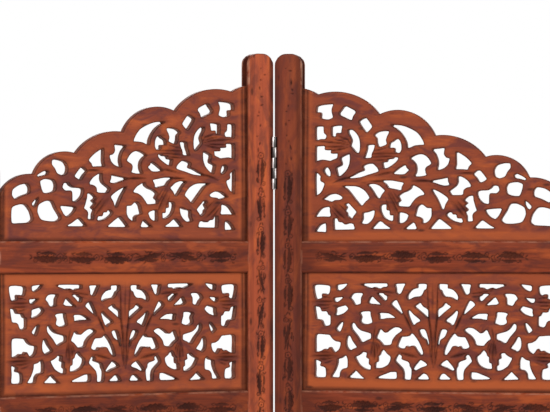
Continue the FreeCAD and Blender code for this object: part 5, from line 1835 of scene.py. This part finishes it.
def make_stage():
    """A pale floor and soft lamps."""
    floor_mesh = bpy.data.meshes.new("floor")
    reach = FLOOR_REACH
    corners = [(-reach, -reach, 0), (reach, -reach, 0), (reach, reach, 0), (-reach, reach, 0)]
    floor_mesh.from_pydata(corners, [], [(0, 1, 2, 3)])
    floor = bpy.data.objects.new("floor", floor_mesh)
    bpy.context.scene.collection.objects.link(floor)
    paint = bpy.data.materials.new("floor_paint")
    paint.use_nodes = True
    surface = paint.node_tree.nodes["Principled BSDF"]
    surface.inputs["Base Color"].default_value = FLOOR_COLOUR
    surface.inputs["Roughness"].default_value = FLOOR_ROUGHNESS
    floor_mesh.materials.append(paint)
    for name, (place, width, power) in LAMPS.items():
        lamp = bpy.data.lights.new(name, "AREA")
        lamp.shape = "SQUARE"
        lamp.size = width
        lamp.energy = power
        holder = bpy.data.objects.new(name, lamp)
        holder.location = place
        facing = Vector(LAMP_TARGET) - Vector(place)
        holder.rotation_euler = facing.to_track_quat("-Z", "Y").to_euler()
        bpy.context.scene.collection.objects.link(holder)


def make_world():
    """Soft light all round, white to the camera and in reflections."""
    world = bpy.data.worlds.new("studio")
    world.use_nodes = True
    tree = world.node_tree
    tree.nodes.clear()
    rays = add_node(tree, "ShaderNodeLightPath")
    seen = do_math(tree, "ADD", rays.outputs["Is Camera Ray"], rays.outputs["Is Glossy Ray"])
    seen = do_math(tree, "ADD", seen, rays.outputs["Is Transmission Ray"])
    soft = add_node(tree, "ShaderNodeBackground")
    soft.inputs["Color"].default_value = (1, 1, 1, 1)
    soft.inputs["Strength"].default_value = SOFT_LIGHT
    white = add_node(tree, "ShaderNodeBackground")
    white.inputs["Color"].default_value = (1, 1, 1, 1)
    white.inputs["Strength"].default_value = 1.0
    both = add_node(tree, "ShaderNodeMixShader")
    link(tree, seen, both.inputs[0])
    link(tree, soft.outputs[0], both.inputs[1])
    link(tree, white.outputs[0], both.inputs[2])
    link(tree, both.outputs[0], add_node(tree, "ShaderNodeOutputWorld").inputs[0])
    bpy.context.scene.world = world


def make_camera():
    """The photograph's view: level, four metres off, a little to the left of square on."""
    camera = bpy.data.cameras.new("camera")
    holder = bpy.data.objects.new("camera", camera)
    turn = math.radians(CAMERA_TURN)
    joint = HINGE_AXIS_Y / 1000
    holder.location = (-CAMERA_DISTANCE * math.sin(turn), joint - CAMERA_DISTANCE * math.cos(turn),
                       CAMERA_HEIGHT)
    holder.rotation_euler = (math.pi / 2, 0, -turn)
    camera.sensor_width = 36.0
    camera.lens = PIXELS_PER_METRE * CAMERA_DISTANCE / IMAGE_WIDTH * camera.sensor_width
    camera.shift_x = (IMAGE_WIDTH / 2 - JOINT_COLUMN) / IMAGE_WIDTH
    camera.shift_y = (HORIZON_ROW - IMAGE_HEIGHT / 2) / IMAGE_WIDTH
    bpy.context.scene.collection.objects.link(holder)
    bpy.context.scene.camera = holder


bpy.context.scene.view_settings.view_transform = "Standard"
make_stage()
make_world()
make_camera()
